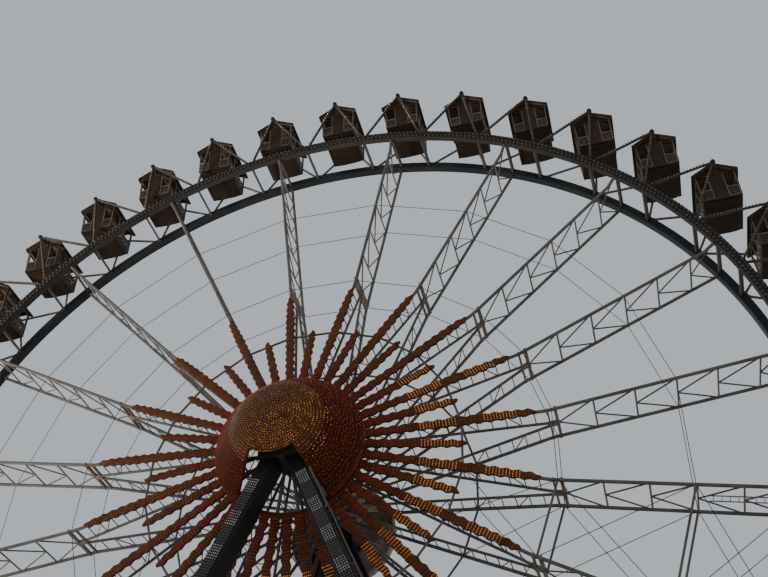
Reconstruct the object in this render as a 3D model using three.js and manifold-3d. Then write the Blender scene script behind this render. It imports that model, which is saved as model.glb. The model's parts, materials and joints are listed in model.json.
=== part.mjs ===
// A transportable ferris wheel with forty house-shaped cabins, as a 1:2 scale model.
// +Z is up, the wheel turns about Y, and -Y is the front, where the sun stands.
// The origin is on the ground under the hub. Lengths are written in metres of the
// full-size wheel and multiplied by METRE, which gives millimetres of the model.
import * as THREE from "three";
import { mergeVertices } from "three/addons/utils/BufferGeometryUtils.js";
import Module from "manifold-3d";

const wasm = await Module();
wasm.setup();

// Driving dimensions
const METRE = 500;
const CABINS = 40;
const SPOKES = 20;
const SPOKE_GROUPS = 4;
const HUB_HEIGHT = 26.6;
const FIRST_ANGLE = THREE.MathUtils.degToRad(130.93);
const CABIN_STEP = (2 * Math.PI) / CABINS;
const SPOKE_STEP = (2 * Math.PI) / SPOKES;
// Space left between pieces that touch, in metres of the full-size wheel
const TOUCH = 0.0006;

// Rim
const RING_HEIGHT = 0.4;
const FRONT_RING = { radius: 20.29, y: -0.985, depth: 0.31 };
const REAR_RING = { radius: 20.385, y: 1.327, depth: 0.37 };
const CROSS_TUBE_SIZE = 0.17;
const BETWEEN_RINGS = {
  front: FRONT_RING.y + FRONT_RING.depth / 2 + TOUCH,
  rear: REAR_RING.y - REAR_RING.depth / 2 - TOUCH,
};

// The zigzag frames that carry the cabins
const PIVOT_RADIUS = 23.02;
const FRONT_PIVOT_Y = -1.556;
const REAR_PIVOT_Y = 1.8;
const FRAME_DEPTH = 0.16;
const FRAME_FOOT = 0.3;
const BEARING_TOP = 0.16;
const BEARING_HALF_WIDTH = 0.13;
const BEARING_BELOW = 0.26;
const BEARING_BORE = 0.107;
const BORE_SIDES = 4;

// Cabins
const CABIN_CENTRE_Y = (FRONT_PIVOT_Y + REAR_PIVOT_Y) / 2;
const CABIN = {
  halfDepth: 1.11,
  halfWidthTop: 0.93,
  halfWidthBottom: 0.85,
  wallTop: -0.17,
  bottom: -1.87,
  wall: 0.06,
  floor: 0.08,
};
const ROOF = { ridge: 0.42, eave: -0.2, halfWidth: 1.063, halfDepth: 1.28, thickness: 0.1 };
const WINDOW = { inner: 0.32, outer: 0.79, sill: -1.15, head: -0.28 };
const SIDE_WINDOW = { halfWidth: 0.78, sill: -1.15, head: -0.36 };
const PIN_RADIUS = 0.065;
const PIN_SIDES = 4;
const PIN_END = 0.06;

// Spokes, in the plane of the hub's axis: x is the distance from the axis
const SPOKE_THICKNESS = 0.14;
const CHORD = 0.13;
const HUB_END = { x: 0.8, frontY: -2.72, frontInnerY: -2.07, rearInnerY: 2.04, rearY: 2.785 };
const BRACKET = { inner: 10.2, outer: 10.6, frontY: -0.78, middleY: 0.21, rearY: 1.2 };
const BRACKET_CROTCH = 10.0;
// The front chord runs nearly level with the rear one and turns forward to the rim at its end
const TIP_FLARE = 0.45;
const TIP_FRONT_Y = -0.75;
const TRUSS_BAYS = 3;
const LADDER_BAYS = 2;

// Hub
const AXLE_RADIUS = 0.5;
const AXLE_END = 3.7;
const DRUM_RADIUS = 0.62;
const DRUM_LIP = 0.06;
const FLANGE_RADIUS = 0.88;

// Sun
const RAY_THICKNESS = 0.12;
const RAY_GAP = 0.003;
const RAY_RING_INNER = 2.85;
const LONG_RAY = [
  [3.1, 0.2],
  [5.3, 0.17],
  [7.5, 0.2],
  [9.55, 0.12],
  [9.8, 0],
];
const SHORT_RAY = [
  [3.1, 0.2],
  [5.0, 0.19],
  [6.6, 0.13],
  [6.93, 0],
];
const DOME_SKIN = 0.1;
const DOME_SIDES = 24;
const DOME_PROFILE = [
  [3.12, -2.6],
  [3.12, -3.0],
  [2.85, -3.45],
  [2.4, -3.95],
  [1.95, -4.45],
  [1.53, -4.85],
  [0.8, -5.05],
];
const DOME_TIP = -5.12;
// The sun dome is open below its round cap for the legs
const DOME_CUT = {
  capRadius: 1.5,
  leftAngle: 53,
  rightAngle: 60,
  capSteps: 5,
  bottom: -3.4,
  left: -2.9,
  right: 2.1,
};
// The cover behind the hub stands clear of the legs and is closed all round
const COVER_PROFILE = [
  [2.45, -4.6],
  [2.4, -5.05],
  [2.1, -5.4],
  [1.55, -5.7],
  [0.8, -5.86],
];
const COVER_TIP = -5.9;

// Stand
const LEG_SPREAD_X = 0.4;
const LEG_SPREAD_Y = 0.15;
const LEG_TOP_Y = 3.3;
const LEG_WIDTH = 0.66;
const LEG_DEPTH = 1.0;
const LEG_FOOT = { width: 1.3, depth: 1.5, height: 0.1 };
const HEAD = { below: 1.2, above: 0.8, bottomHalf: 0.88, topHalf: 0.7, near: 2.9, far: 4.0 };
const BOSS_SIDES = 12;
const BORE_CLEARANCE = 0.02;
const BEAM_HEIGHT = 0.6;
const BEAM_WIDTH = 0.9;
const BEAM_OVERHANG = 1.6;

const paint = (color, roughness, metalness) =>
  new THREE.MeshStandardMaterial({ color, roughness, metalness });
const materials = {
  stand: paint(0x1c2430, 0.45, 0.4),
  base: paint(0x2a2f36, 0.6, 0.3),
  steel: paint(0x8d8780, 0.45, 0.7),
  ring: paint(0x2c343c, 0.5, 0.4),
  ray: paint(0xa33a20, 0.5, 0.1),
  dome: paint(0xb0401f, 0.5, 0.1),
  cover: paint(0x77767a, 0.6, 0.2),
  cabin: paint(0x5b3a28, 0.6, 0.0),
};

// A geometry as a solid that can be joined and cut
function solidFrom(geometry) {
  const bare = geometry.clone();
  bare.deleteAttribute("normal");
  bare.deleteAttribute("uv");
  const merged = mergeVertices(bare, 1e-3);
  return new wasm.Manifold(
    new wasm.Mesh({
      numProp: 3,
      vertProperties: new Float32Array(merged.attributes.position.array),
      triVerts: new Uint32Array(merged.index.array),
    }),
  );
}

function geometryFrom(solid) {
  const mesh = solid.getMesh();
  const geometry = new THREE.BufferGeometry();
  geometry.setAttribute("position", new THREE.BufferAttribute(mesh.vertProperties, 3));
  geometry.setIndex(new THREE.BufferAttribute(mesh.triVerts, 1));
  geometry.computeVertexNormals();
  return geometry;
}

function joined(geometries) {
  const solids = geometries.map(solidFrom);
  return geometryFrom(solids.reduce((whole, next) => whole.add(next)));
}

function cut(geometry, tools) {
  const blank = solidFrom(geometry);
  const cutters = tools.map(solidFrom);
  return geometryFrom(cutters.reduce((rest, next) => rest.subtract(next), blank));
}

const scaled = ([a, b]) => new THREE.Vector2(a * METRE, b * METRE);

// A flat outline with holes, given thickness along the third axis and centred on it
function slab(outline, holes, thickness) {
  const shape = new THREE.Shape(outline.map(scaled));
  shape.holes = holes.map((hole) => new THREE.Path(hole.map(scaled)));
  const geometry = new THREE.ExtrudeGeometry(shape, {
    depth: thickness * METRE,
    bevelEnabled: false,
  });
  return geometry.translate(0, 0, (-thickness / 2) * METRE);
}

// The outline is drawn in x and z, and the slab reaches from y = front to y = back
function uprightSlab(outline, holes, front, back) {
  const geometry = slab(outline, holes, back - front).rotateX(Math.PI / 2);
  return geometry.translate(0, ((front + back) / 2) * METRE, 0);
}

// The outline is drawn in distance from the axis and y, in the half-plane at an angle
function radialSlab(outline, holes, thickness, angle) {
  return slab(outline, holes, thickness).rotateY(-angle);
}

function box(low, high) {
  const size = high.map((value, axis) => (value - low[axis]) * METRE);
  const middle = high.map((value, axis) => ((value + low[axis]) / 2) * METRE);
  return new THREE.BoxGeometry(...size).translate(...middle);
}

function rod(radius, sides, front, back) {
  const geometry = new THREE.CylinderGeometry(
    radius * METRE,
    radius * METRE,
    (back - front) * METRE,
    sides,
  );
  return geometry.translate(0, ((front + back) / 2) * METRE, 0);
}

const polar = (radius, angle) => [radius * Math.cos(angle), radius * Math.sin(angle)];

// A point at a distance along a ray and to one side of it
function beside(reach, across, angle) {
  return [
    reach * Math.cos(angle) - across * Math.sin(angle),
    reach * Math.sin(angle) + across * Math.cos(angle),
  ];
}

const cabinAngle = (index) => FIRST_ANGLE - index * CABIN_STEP;
const spokeAngle = (index) => FIRST_ANGLE - index * SPOKE_STEP;
const along = (a, b, share) => a + (b - a) * share;

// Places each vertex on a cone: the slab is flat at first and y depends on the radius
function coned(geometry, yAt) {
  const points = geometry.attributes.position;
  for (let i = 0; i < points.count; i++) {
    const radius = Math.hypot(points.getX(i), points.getZ(i)) / METRE;
    points.setY(i, points.getY(i) + yAt(radius) * METRE);
  }
  return geometry;
}

const root = new THREE.Group();
const wheel = new THREE.Group();
wheel.position.z = HUB_HEIGHT * METRE;
root.add(wheel);

function place(parent, name, geometry, material) {
  const mesh = new THREE.Mesh(geometry, material);
  mesh.name = name;
  parent.add(mesh);
  return mesh;
}

// Rim rings, with a flat at each cabin and one between each two cabins
function ringGeometry({ radius, y, depth }) {
  const half = RING_HEIGHT / 2;
  const toCorner = 1 / Math.cos(CABIN_STEP / 4);
  const corners = Array.from({ length: 2 * CABINS }, (_, i) => cabinAngle(i / 2 + 0.25)).reverse();
  const outer = corners.map((angle) => polar((radius + half) * toCorner, angle));
  const inner = corners.map((angle) => polar((radius - half) * toCorner, angle)).reverse();
  return uprightSlab(outer, [inner], y - depth / 2, y + depth / 2);
}

// A ring with every other one of the tubes that cross to the opposite ring between the cabins
function tubedRingGeometry(ring, firstTube, front, rear) {
  const half = CROSS_TUBE_SIZE / 2;
  const outline = [
    [FRONT_RING.radius - half, front],
    [FRONT_RING.radius + half, front],
    [REAR_RING.radius + half, rear],
    [REAR_RING.radius - half, rear],
  ];
  const tubes = Array.from({ length: CABINS / 2 }, (_, i) =>
    radialSlab(outline, [], CROSS_TUBE_SIZE, cabinAngle(firstTube + 2 * i)),
  );
  return joined([ringGeometry(ring), ...tubes]);
}

// Zigzag frames: from the rim up to each cabin's bearing and down again
function zigzagGeometry(ring, pivotY) {
  const foot = ring.radius + RING_HEIGHT / 2 + TOUCH;
  const outer = [];
  const inner = [];
  const bores = [];
  for (let i = CABINS; i > 0; i--) {
    const angle = cabinAngle(i);
    const valley = cabinAngle(i - 0.5);
    outer.push(beside(PIVOT_RADIUS + BEARING_TOP, -BEARING_HALF_WIDTH, angle));
    outer.push(beside(PIVOT_RADIUS + BEARING_TOP, BEARING_HALF_WIDTH, angle));
    outer.push(polar(foot + FRAME_FOOT, valley));
    inner.unshift(polar(PIVOT_RADIUS - BEARING_BELOW, angle));
    inner.unshift(polar(foot, valley));
    const [x, z] = polar(PIVOT_RADIUS, angle);
    const turn = (2 * Math.PI) / BORE_SIDES;
    const bore = Array.from({ length: BORE_SIDES }, (_, k) => polar(BEARING_BORE, -k * turn));
    bores.push(bore.map(([dx, dz]) => [x + dx, z + dz]));
  }
  const flat = uprightSlab(outer, [inner, ...bores], -FRAME_DEPTH / 2, FRAME_DEPTH / 2);
  const slope = (pivotY - ring.y) / (PIVOT_RADIUS - foot);
  return coned(flat, (radius) => {
    const reach = Math.min(radius, PIVOT_RADIUS) - foot;
    return ring.y + slope * Math.max(reach, 0);
  });
}

// Spokes: a ladder from each hub flange to the bracket, then one truss out to the rim,
// where the tip stands between the rings
function spokeGeometry(angle) {
  const half = CHORD / 2;
  const tubeHalf = CROSS_TUBE_SIZE / 2;
  const middle = BRACKET.middleY;
  const tipFront = FRONT_RING.radius - RING_HEIGHT / 2 - TOUCH;
  const tipRear = REAR_RING.radius - RING_HEIGHT / 2 - TOUCH;
  const flareStart = tipFront - TIP_FLARE;
  const tipRearY = REAR_RING.y + half;
  const outline = [
    [HUB_END.x, HUB_END.frontY],
    [BRACKET.inner, BRACKET.frontY],
    [BRACKET.outer, BRACKET.frontY],
    [flareStart, TIP_FRONT_Y],
    [tipFront, FRONT_RING.y],
    [tipFront, BETWEEN_RINGS.front],
    [FRONT_RING.radius + tubeHalf, BETWEEN_RINGS.front],
    [REAR_RING.radius + tubeHalf, BETWEEN_RINGS.rear],
    [tipRear, BETWEEN_RINGS.rear],
    [tipRear, tipRearY],
    [BRACKET.outer, BRACKET.rearY],
    [BRACKET.inner, BRACKET.rearY],
    [HUB_END.x, HUB_END.rearY],
    [HUB_END.x, HUB_END.rearInnerY],
    [BRACKET_CROTCH, middle + half],
    [BRACKET_CROTCH, middle - half],
    [HUB_END.x, HUB_END.frontInnerY],
  ];
  const truss = bays(
    [BRACKET.outer, BRACKET.frontY, flareStart, TIP_FRONT_Y],
    [BRACKET.outer, BRACKET.rearY, tipRear, tipRearY],
    TRUSS_BAYS,
  );
  const frontLadder = bays(
    [HUB_END.x + CHORD, HUB_END.frontY, BRACKET.inner, BRACKET.frontY],
    [HUB_END.x + CHORD, HUB_END.frontInnerY, BRACKET.inner, middle],
    LADDER_BAYS,
  );
  const rearLadder = bays(
    [HUB_END.x + CHORD, HUB_END.rearInnerY, BRACKET.inner, middle],
    [HUB_END.x + CHORD, HUB_END.rearY, BRACKET.inner, BRACKET.rearY],
    LADDER_BAYS,
  );
  const holes = [...truss, ...frontLadder, ...rearLadder];
  return radialSlab(outline, holes, SPOKE_THICKNESS, angle);
}

// The open bays between two chords, each chord given as x, y, x, y from its inner to its outer end
function bays([ax, ay, bx, by], [cx, cy, dx, dy], count) {
  return Array.from({ length: count }, (_, i) => {
    const start = i / count;
    const end = (i + 1) / count;
    return [
      [along(ax, bx, start) + CHORD / 2, along(ay, by, start) + CHORD],
      [along(cx, dx, start) + CHORD / 2, along(cy, dy, start) - CHORD],
      [along(cx, dx, end) - CHORD / 2, along(cy, dy, end) - CHORD],
      [along(ax, bx, end) - CHORD / 2, along(ay, by, end) + CHORD],
    ];
  });
}

// One quarter of a hub flange, which the ladders of one group of spokes end in
function flangeSector(group, front, back) {
  const perGroup = SPOKES / SPOKE_GROUPS;
  const first = group * perGroup;
  const inner = DRUM_RADIUS + TOUCH / Math.cos(SPOKE_STEP / 2);
  const flat = Math.cos(SPOKE_STEP / 2);
  const gap = (2 * TOUCH) / inner;
  const angles = [spokeAngle(first - 0.5) - gap];
  const shares = [flat];
  for (let i = 0; i < perGroup; i++) {
    angles.push(spokeAngle(first + i));
    shares.push(1);
  }
  angles.push(spokeAngle(first + perGroup - 0.5) + gap);
  shares.push(flat);
  const innerArc = angles.map((angle, i) => polar(inner * shares[i], angle));
  const outerArc = angles.map((angle, i) => polar(FLANGE_RADIUS * shares[i], angle)).reverse();
  return uprightSlab([...innerArc, ...outerArc], [], front, back);
}

function spokeGroupGeometry(group) {
  const perGroup = SPOKES / SPOKE_GROUPS;
  const spokes = Array.from({ length: perGroup }, (_, i) =>
    spokeGeometry(spokeAngle(group * perGroup + i)),
  );
  const front = flangeSector(group, HUB_END.frontY, HUB_END.frontInnerY);
  const rear = flangeSector(group, HUB_END.rearInnerY, HUB_END.rearY);
  return joined([front, rear, ...spokes]);
}

function hubGeometry() {
  const profile = [
    [0, -AXLE_END],
    [AXLE_RADIUS, -AXLE_END],
    [AXLE_RADIUS, HUB_END.frontY - DRUM_LIP],
    [DRUM_RADIUS, HUB_END.frontY - DRUM_LIP],
    [DRUM_RADIUS, HUB_END.frontInnerY + DRUM_LIP],
    [AXLE_RADIUS, HUB_END.frontInnerY + DRUM_LIP],
    [AXLE_RADIUS, HUB_END.rearInnerY - DRUM_LIP],
    [DRUM_RADIUS, HUB_END.rearInnerY - DRUM_LIP],
    [DRUM_RADIUS, HUB_END.rearY + DRUM_LIP],
    [AXLE_RADIUS, HUB_END.rearY + DRUM_LIP],
    [AXLE_RADIUS, AXLE_END],
    [0, AXLE_END],
  ];
  return new THREE.LatheGeometry(profile.map(scaled), SPOKES, Math.PI / 2 - FIRST_ANGLE);
}

// Sun rays: forty flames on one ring, lying along the front ladders
function raysGeometry() {
  const outer = [];
  for (let i = CABINS; i > 0; i--) {
    const side = i % 2 === 0 ? LONG_RAY : SHORT_RAY;
    const angle = cabinAngle(i);
    const tip = side.length - 1;
    side.forEach(([reach, half]) => outer.push(beside(reach, -half, angle)));
    for (let k = tip - 1; k >= 0; k--) {
      outer.push(beside(side[k][0], side[k][1], angle));
    }
  }
  const inner = Array.from({ length: SPOKES }, (_, i) => polar(RAY_RING_INNER, spokeAngle(i)));
  const flat = uprightSlab(outer, [inner], -RAY_THICKNESS / 2, RAY_THICKNESS / 2);
  const slope = (BRACKET.frontY - HUB_END.frontY) / (BRACKET.inner - HUB_END.x);
  const offset = HUB_END.frontY - RAY_THICKNESS / 2 - RAY_GAP;
  const flameRoot = LONG_RAY[0][0] + RAY_THICKNESS;
  return coned(flat, (radius) => {
    const reach = radius < flameRoot ? RAY_RING_INNER : radius;
    return offset + slope * (reach - HUB_END.x);
  });
}

// A thin shell of revolution, from its rim to its tip
function shellGeometry(profile, tip) {
  const outside = [[0, tip], ...profile.toReversed()];
  const inside = outside.map(([r, y]) => [Math.max(r - DOME_SKIN, 0), y + DOME_SKIN]).reverse();
  return new THREE.LatheGeometry([...outside, ...inside, outside[0]].map(scaled), DOME_SIDES);
}

function sunDomeGeometry() {
  const { capRadius, leftAngle, rightAngle, capSteps, bottom, left, right } = DOME_CUT;
  const underCap = Array.from({ length: capSteps + 1 }, (_, i) =>
    polar(capRadius, -THREE.MathUtils.degToRad(along(rightAngle, 180 - leftAngle, i / capSteps))),
  );
  const outline = [[left, bottom], [right, bottom], ...underCap];
  const back = DOME_PROFILE[0][1] + 2 * DOME_SKIN;
  const opening = uprightSlab(outline, [], DOME_TIP - DOME_SKIN, back);
  return cut(shellGeometry(DOME_PROFILE, DOME_TIP), [opening]);
}

// Stand: each head has a boss that carries the dome in front of it, given by its profile
function headGeometry(profile) {
  const { below, above, bottomHalf, topHalf, near, far } = HEAD;
  const block = uprightSlab(
    [
      [-bottomHalf, -below],
      [bottomHalf, -below],
      [topHalf, above],
      [-topHalf, above],
    ],
    [],
    -far,
    -near,
  );
  const [bossRadius, capFace] = profile.at(-1);
  const seat = capFace + DOME_SKIN + TOUCH;
  const boss = rod(bossRadius - 2 * DOME_SKIN, BOSS_SIDES, seat, -far + DOME_SKIN);
  const boreRadius = (AXLE_RADIUS + BORE_CLEARANCE) / Math.cos(Math.PI / SPOKES);
  const bore = rod(boreRadius, SPOKES, -AXLE_END - BORE_CLEARANCE, 0);
  return cut(joined([block, boss]), [bore]);
}

// side is -1 for a left leg and 1 for a right one; both stand in front of the wheel
function legGeometry(side) {
  const top = HUB_HEIGHT - HEAD.below - TOUCH;
  const foot = BEAM_HEIGHT + TOUCH;
  const block = new THREE.BoxGeometry(LEG_WIDTH, LEG_DEPTH, 1);
  const points = block.attributes.position;
  for (let i = 0; i < points.count; i++) {
    const z = points.getZ(i) > 0 ? top : foot;
    const drop = HUB_HEIGHT - z;
    const x = points.getX(i) + side * LEG_SPREAD_X * drop;
    const y = points.getY(i) - LEG_TOP_Y - LEG_SPREAD_Y * drop;
    points.setXYZ(i, x * METRE, y * METRE, z * METRE);
  }
  const drop = HUB_HEIGHT - foot;
  const x = side * LEG_SPREAD_X * drop;
  const y = -LEG_TOP_Y - LEG_SPREAD_Y * drop;
  const sole = box(
    [x - LEG_FOOT.width / 2, y - LEG_FOOT.depth / 2, foot],
    [x + LEG_FOOT.width / 2, y + LEG_FOOT.depth / 2, foot + LEG_FOOT.height],
  );
  return joined([block, sole]);
}

function baseGeometry() {
  const drop = HUB_HEIGHT - BEAM_HEIGHT;
  const x = LEG_SPREAD_X * drop;
  const y = LEG_TOP_Y + LEG_SPREAD_Y * drop;
  const half = BEAM_WIDTH / 2;
  const reach = x + BEAM_OVERHANG;
  const long = (at) => box([-reach, at - half, 0], [reach, at + half, BEAM_HEIGHT]);
  const short = (at) => box([at - half, -y, 0], [at + half, y, BEAM_HEIGHT]);
  return joined([long(-y), long(y), short(-x), short(0), short(x)]);
}

// Cabins: a small house, hollow, with its pivot pins on the gables
function cabinGeometry() {
  const { halfDepth, halfWidthTop, halfWidthBottom, wallTop, bottom, wall, floor } = CABIN;
  const front = CABIN_CENTRE_Y - halfDepth;
  const back = CABIN_CENTRE_Y + halfDepth;
  const ceiling = ROOF.ridge - ROOF.thickness;
  const gable = (inset, low, high, peak) => [
    [-(halfWidthBottom - inset), low],
    [halfWidthBottom - inset, low],
    [halfWidthTop - inset, high],
    [0, peak],
    [-(halfWidthTop - inset), high],
  ];
  const house = uprightSlab(gable(0, bottom, wallTop, ceiling + wall), [], front, back);
  const { ridge, eave, halfWidth, thickness } = ROOF;
  const roof = uprightSlab(
    [
      [-halfWidth, eave],
      [-halfWidth, eave - thickness],
      [0, ridge - thickness],
      [halfWidth, eave - thickness],
      [halfWidth, eave],
      [0, ridge],
    ],
    [],
    CABIN_CENTRE_Y - ROOF.halfDepth,
    CABIN_CENTRE_Y + ROOF.halfDepth,
  );
  const frontPin = rod(PIN_RADIUS, PIN_SIDES, FRONT_PIVOT_Y - FRAME_DEPTH / 2 - PIN_END, front + wall);
  const rearPin = rod(PIN_RADIUS, PIN_SIDES, back - wall, REAR_PIVOT_Y + FRAME_DEPTH / 2 + PIN_END);
  const room = uprightSlab(
    gable(wall, bottom + floor, wallTop - wall, ceiling - wall),
    [],
    front + wall,
    back - wall,
  );
  const { inner, outer, sill, head } = WINDOW;
  const through = [front - wall, back + wall];
  const bay = (low, high) => box([low, through[0], sill], [high, through[1], head]);
  const side = box(
    [-halfWidthTop - wall, CABIN_CENTRE_Y - SIDE_WINDOW.halfWidth, SIDE_WINDOW.sill],
    [halfWidthTop + wall, CABIN_CENTRE_Y + SIDE_WINDOW.halfWidth, SIDE_WINDOW.head],
  );
  return cut(joined([house, roof, frontPin, rearPin]), [
    room,
    bay(inner, outer),
    bay(-outer, -inner),
    side,
  ]);
}

place(root, "base_frame", baseGeometry(), materials.base);
place(root, "leg_front_left", legGeometry(-1), materials.stand);
place(root, "leg_front_right", legGeometry(1), materials.stand);
const rearStand = new THREE.Group();
rearStand.rotation.z = Math.PI;
root.add(rearStand);
place(rearStand, "leg_rear_right", legGeometry(-1), materials.stand);
place(rearStand, "leg_rear_left", legGeometry(1), materials.stand);
place(wheel, "head_front", headGeometry(DOME_PROFILE), materials.stand);
place(wheel, "sun_dome", sunDomeGeometry(), materials.dome);
const hubRear = new THREE.Group();
hubRear.rotation.z = Math.PI;
wheel.add(hubRear);
place(hubRear, "head_rear", headGeometry(COVER_PROFILE), materials.stand);
place(hubRear, "rear_cover", shellGeometry(COVER_PROFILE, COVER_TIP), materials.cover);

place(wheel, "hub_axle", hubGeometry(), materials.steel);
const frontRing = tubedRingGeometry(FRONT_RING, 0.5, FRONT_RING.y, BETWEEN_RINGS.rear);
const rearRing = tubedRingGeometry(REAR_RING, 1.5, BETWEEN_RINGS.front, REAR_RING.y);
place(wheel, "front_ring", frontRing, materials.ring);
place(wheel, "rear_ring", rearRing, materials.ring);
place(wheel, "front_zigzag", zigzagGeometry(FRONT_RING, FRONT_PIVOT_Y), materials.steel);
place(wheel, "rear_zigzag", zigzagGeometry(REAR_RING, REAR_PIVOT_Y), materials.steel);
place(wheel, "sun_rays", raysGeometry(), materials.ray);
for (let group = 0; group < SPOKE_GROUPS; group++) {
  place(wheel, `spokes_${group + 1}`, spokeGroupGeometry(group), materials.steel);
}

const cabin = cabinGeometry();
for (let i = 0; i < CABINS; i++) {
  const name = `cabin_${String(i + 1).padStart(2, "0")}`;
  const mesh = place(wheel, name, cabin, materials.cabin);
  const [x, z] = polar(PIVOT_RADIUS * METRE, cabinAngle(i));
  mesh.position.set(x, 0, z);
}

export default root;
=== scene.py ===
import json
from math import cos, hypot, pi, radians, sin

import bmesh
import bpy
from mathutils import Matrix, Vector, noise


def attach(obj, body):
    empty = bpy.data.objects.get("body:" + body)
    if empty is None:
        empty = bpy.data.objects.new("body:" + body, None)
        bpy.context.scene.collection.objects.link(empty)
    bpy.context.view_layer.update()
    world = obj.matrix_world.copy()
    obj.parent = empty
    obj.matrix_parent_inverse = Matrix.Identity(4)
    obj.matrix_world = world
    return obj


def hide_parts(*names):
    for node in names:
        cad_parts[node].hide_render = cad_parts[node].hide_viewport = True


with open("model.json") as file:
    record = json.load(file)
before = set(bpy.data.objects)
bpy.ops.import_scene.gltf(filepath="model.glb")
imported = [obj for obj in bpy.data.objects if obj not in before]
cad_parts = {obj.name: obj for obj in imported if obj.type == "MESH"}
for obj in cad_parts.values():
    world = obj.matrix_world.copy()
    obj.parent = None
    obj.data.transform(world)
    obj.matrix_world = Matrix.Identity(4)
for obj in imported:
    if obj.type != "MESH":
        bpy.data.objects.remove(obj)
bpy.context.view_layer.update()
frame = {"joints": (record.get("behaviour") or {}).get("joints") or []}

# Lengths are metres of the full-size wheel, measured from the middle of the hub: x to the right,
# y to the rear and z up. Each finished piece is scaled and moved to its place on the model.
SCALE = 0.5
JOINTS = {joint["name"]: joint for joint in frame["joints"]}
HUB = Vector(JOINTS["wheel_turn"]["pos_m"])
GROUND = -HUB.z / SCALE
CABINS = 40
SPOKES = 20
SPOKE_GROUPS = 4
CABIN_STEP = 2 * pi / CABINS
SPOKE_STEP = 2 * pi / SPOKES
FIRST_ANGLE = radians(130.93)
PER_GROUP = SPOKES // SPOKE_GROUPS
UP = Vector((0, 0, 1))
BACK = Vector((0, 1, 0))
FORWARD = Vector((0, -1, 0))

# Rim
RING_HALF_HEIGHT = 0.2
RING_CHAMFER = 0.025
RING_SIDES = 240
FRONT_RING = (20.29, -0.985)
FRONT_RING_HALF_DEPTH = 0.155
REAR_RING = (20.385, 1.327)
REAR_RING_HALF_DEPTH = 0.185
CROSS_BAR_WIDTH = 0.105
CROSS_BAR_HEIGHT = 0.18
CROSS_PLATE_WIDTH = 0.22
CROSS_PLATE_HEIGHT = 0.3
LAMP_STRIP_DEPTH = 0.025
DISC_RADIUS = 0.065
DISC_HEIGHT = 0.04
DISC_ROW = 0.105
DISCS_PER_SEGMENT = 14

# A-frames that carry the cabins
PIVOT_RADIUS = 23.02
FRONT_PIVOT_Y = -1.556
REAR_PIVOT_Y = 1.8
FRAME_BAR_RADIUS = 0.06
HOUSING_RADIUS = 0.11
HOUSING_BORE = 0.075
HOUSING_HALF = 0.08
FRAME_LAMP_RADIUS = 0.052
FRAME_LAMP_PITCH = 0.15

# Spokes, in the half-plane of each: distance from the axis and y
HUB_END = 0.8
CHORD_RADIUS = 0.075
INNER_CHORD_RADIUS = 0.062
POST_RADIUS = 0.04
DIAGONAL_RADIUS = 0.034
RUNG_RADIUS = 0.025
FRONT_CHORD = ((HUB_END, -2.72), (10.2, -0.78), (19.6, -0.75), (20.09, -0.985))
REAR_CHORD = ((HUB_END, 2.785), (10.2, 1.2), (20.2, 1.33))
FRONT_INNER_CHORD = ((HUB_END, -2.07), (10.2, 0.12))
REAR_INNER_CHORD = ((HUB_END, 2.04), (10.2, 0.32))
MIDDLE_Y = 0.21
POST_PLACES = (12.1, 13.8, 15.5, 17.15, 18.85)
RUNG_PITCH = 0.58
BRACKET_INNER = 10.22
BRACKET_OUTER = 10.54
BRACKET_FRONT = -0.87
BRACKET_REAR = 1.28
BRACKET_BOLT_YS = (-0.82, -0.66, 0.12, 0.3, 1.07, 1.23)
STRUT_RUNGS_END = 8.6

# Ties between the spokes
OUTER_TIE_RADIUS = 15.47
INNER_TIE_RADIUS = 10.4
INNER_TIE_YS = (-0.82, 1.24)
FLAME_TIE = (6.8, -1.45)
REAR_FLAME_TIE = (6.8, 1.76)
CROSSING_END = 19.6
CROSSING_YS = ((-1.45, -0.8), (1.75, 1.22))
CABLE_RADIUS = 0.016
TIE_BAR_RADIUS = 0.05
CROSSED_BAYS = (8, 15)

# The ladder in one spoke
LADDER_SPOKE = 8
LADDER_REACH = (15.9, 20.1)
LADDER_RAILS = (0.02, 0.42)
LADDER_PITCH = 0.3

# Hub
DRUM_RADIUS = 0.62
FLANGE_RADIUS = 0.88
FLANGES = ((-2.78, -2.72), (-2.07, -2.01), (1.98, 2.04), (2.785, 2.84))
AXLE_RADIUS = 0.5
AXLE_END = 3.7

# Flame rays of the sun
RAY_THICKNESS = 0.12
RAY_SLOPE = 0.2067
RAY_FACE_Y = -2.743
RAY_FACE_REACH = 1.3
RAY_ROOT = 2.92
FLAME_RING_INNER = 2.79
FLAME_RING_OUTER = 2.96
LONG_TIP = 9.8
SHORT_TIP = 6.93
RAY_STEP = 0.05
WAVE = 0.45
WAVE_SIZE = 0.03
RAY_LAMP_RADIUS = 0.025
RAY_LAMP_PITCH = 0.074
RAY_ROW_PITCH = 0.127
RED_REACH = 4.3
LIT_BANDS = ((5.15, 6.65), (7.7, 9.1))
LIT_WAY = radians(-35)
LIT_LEAST = 0.3

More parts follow.
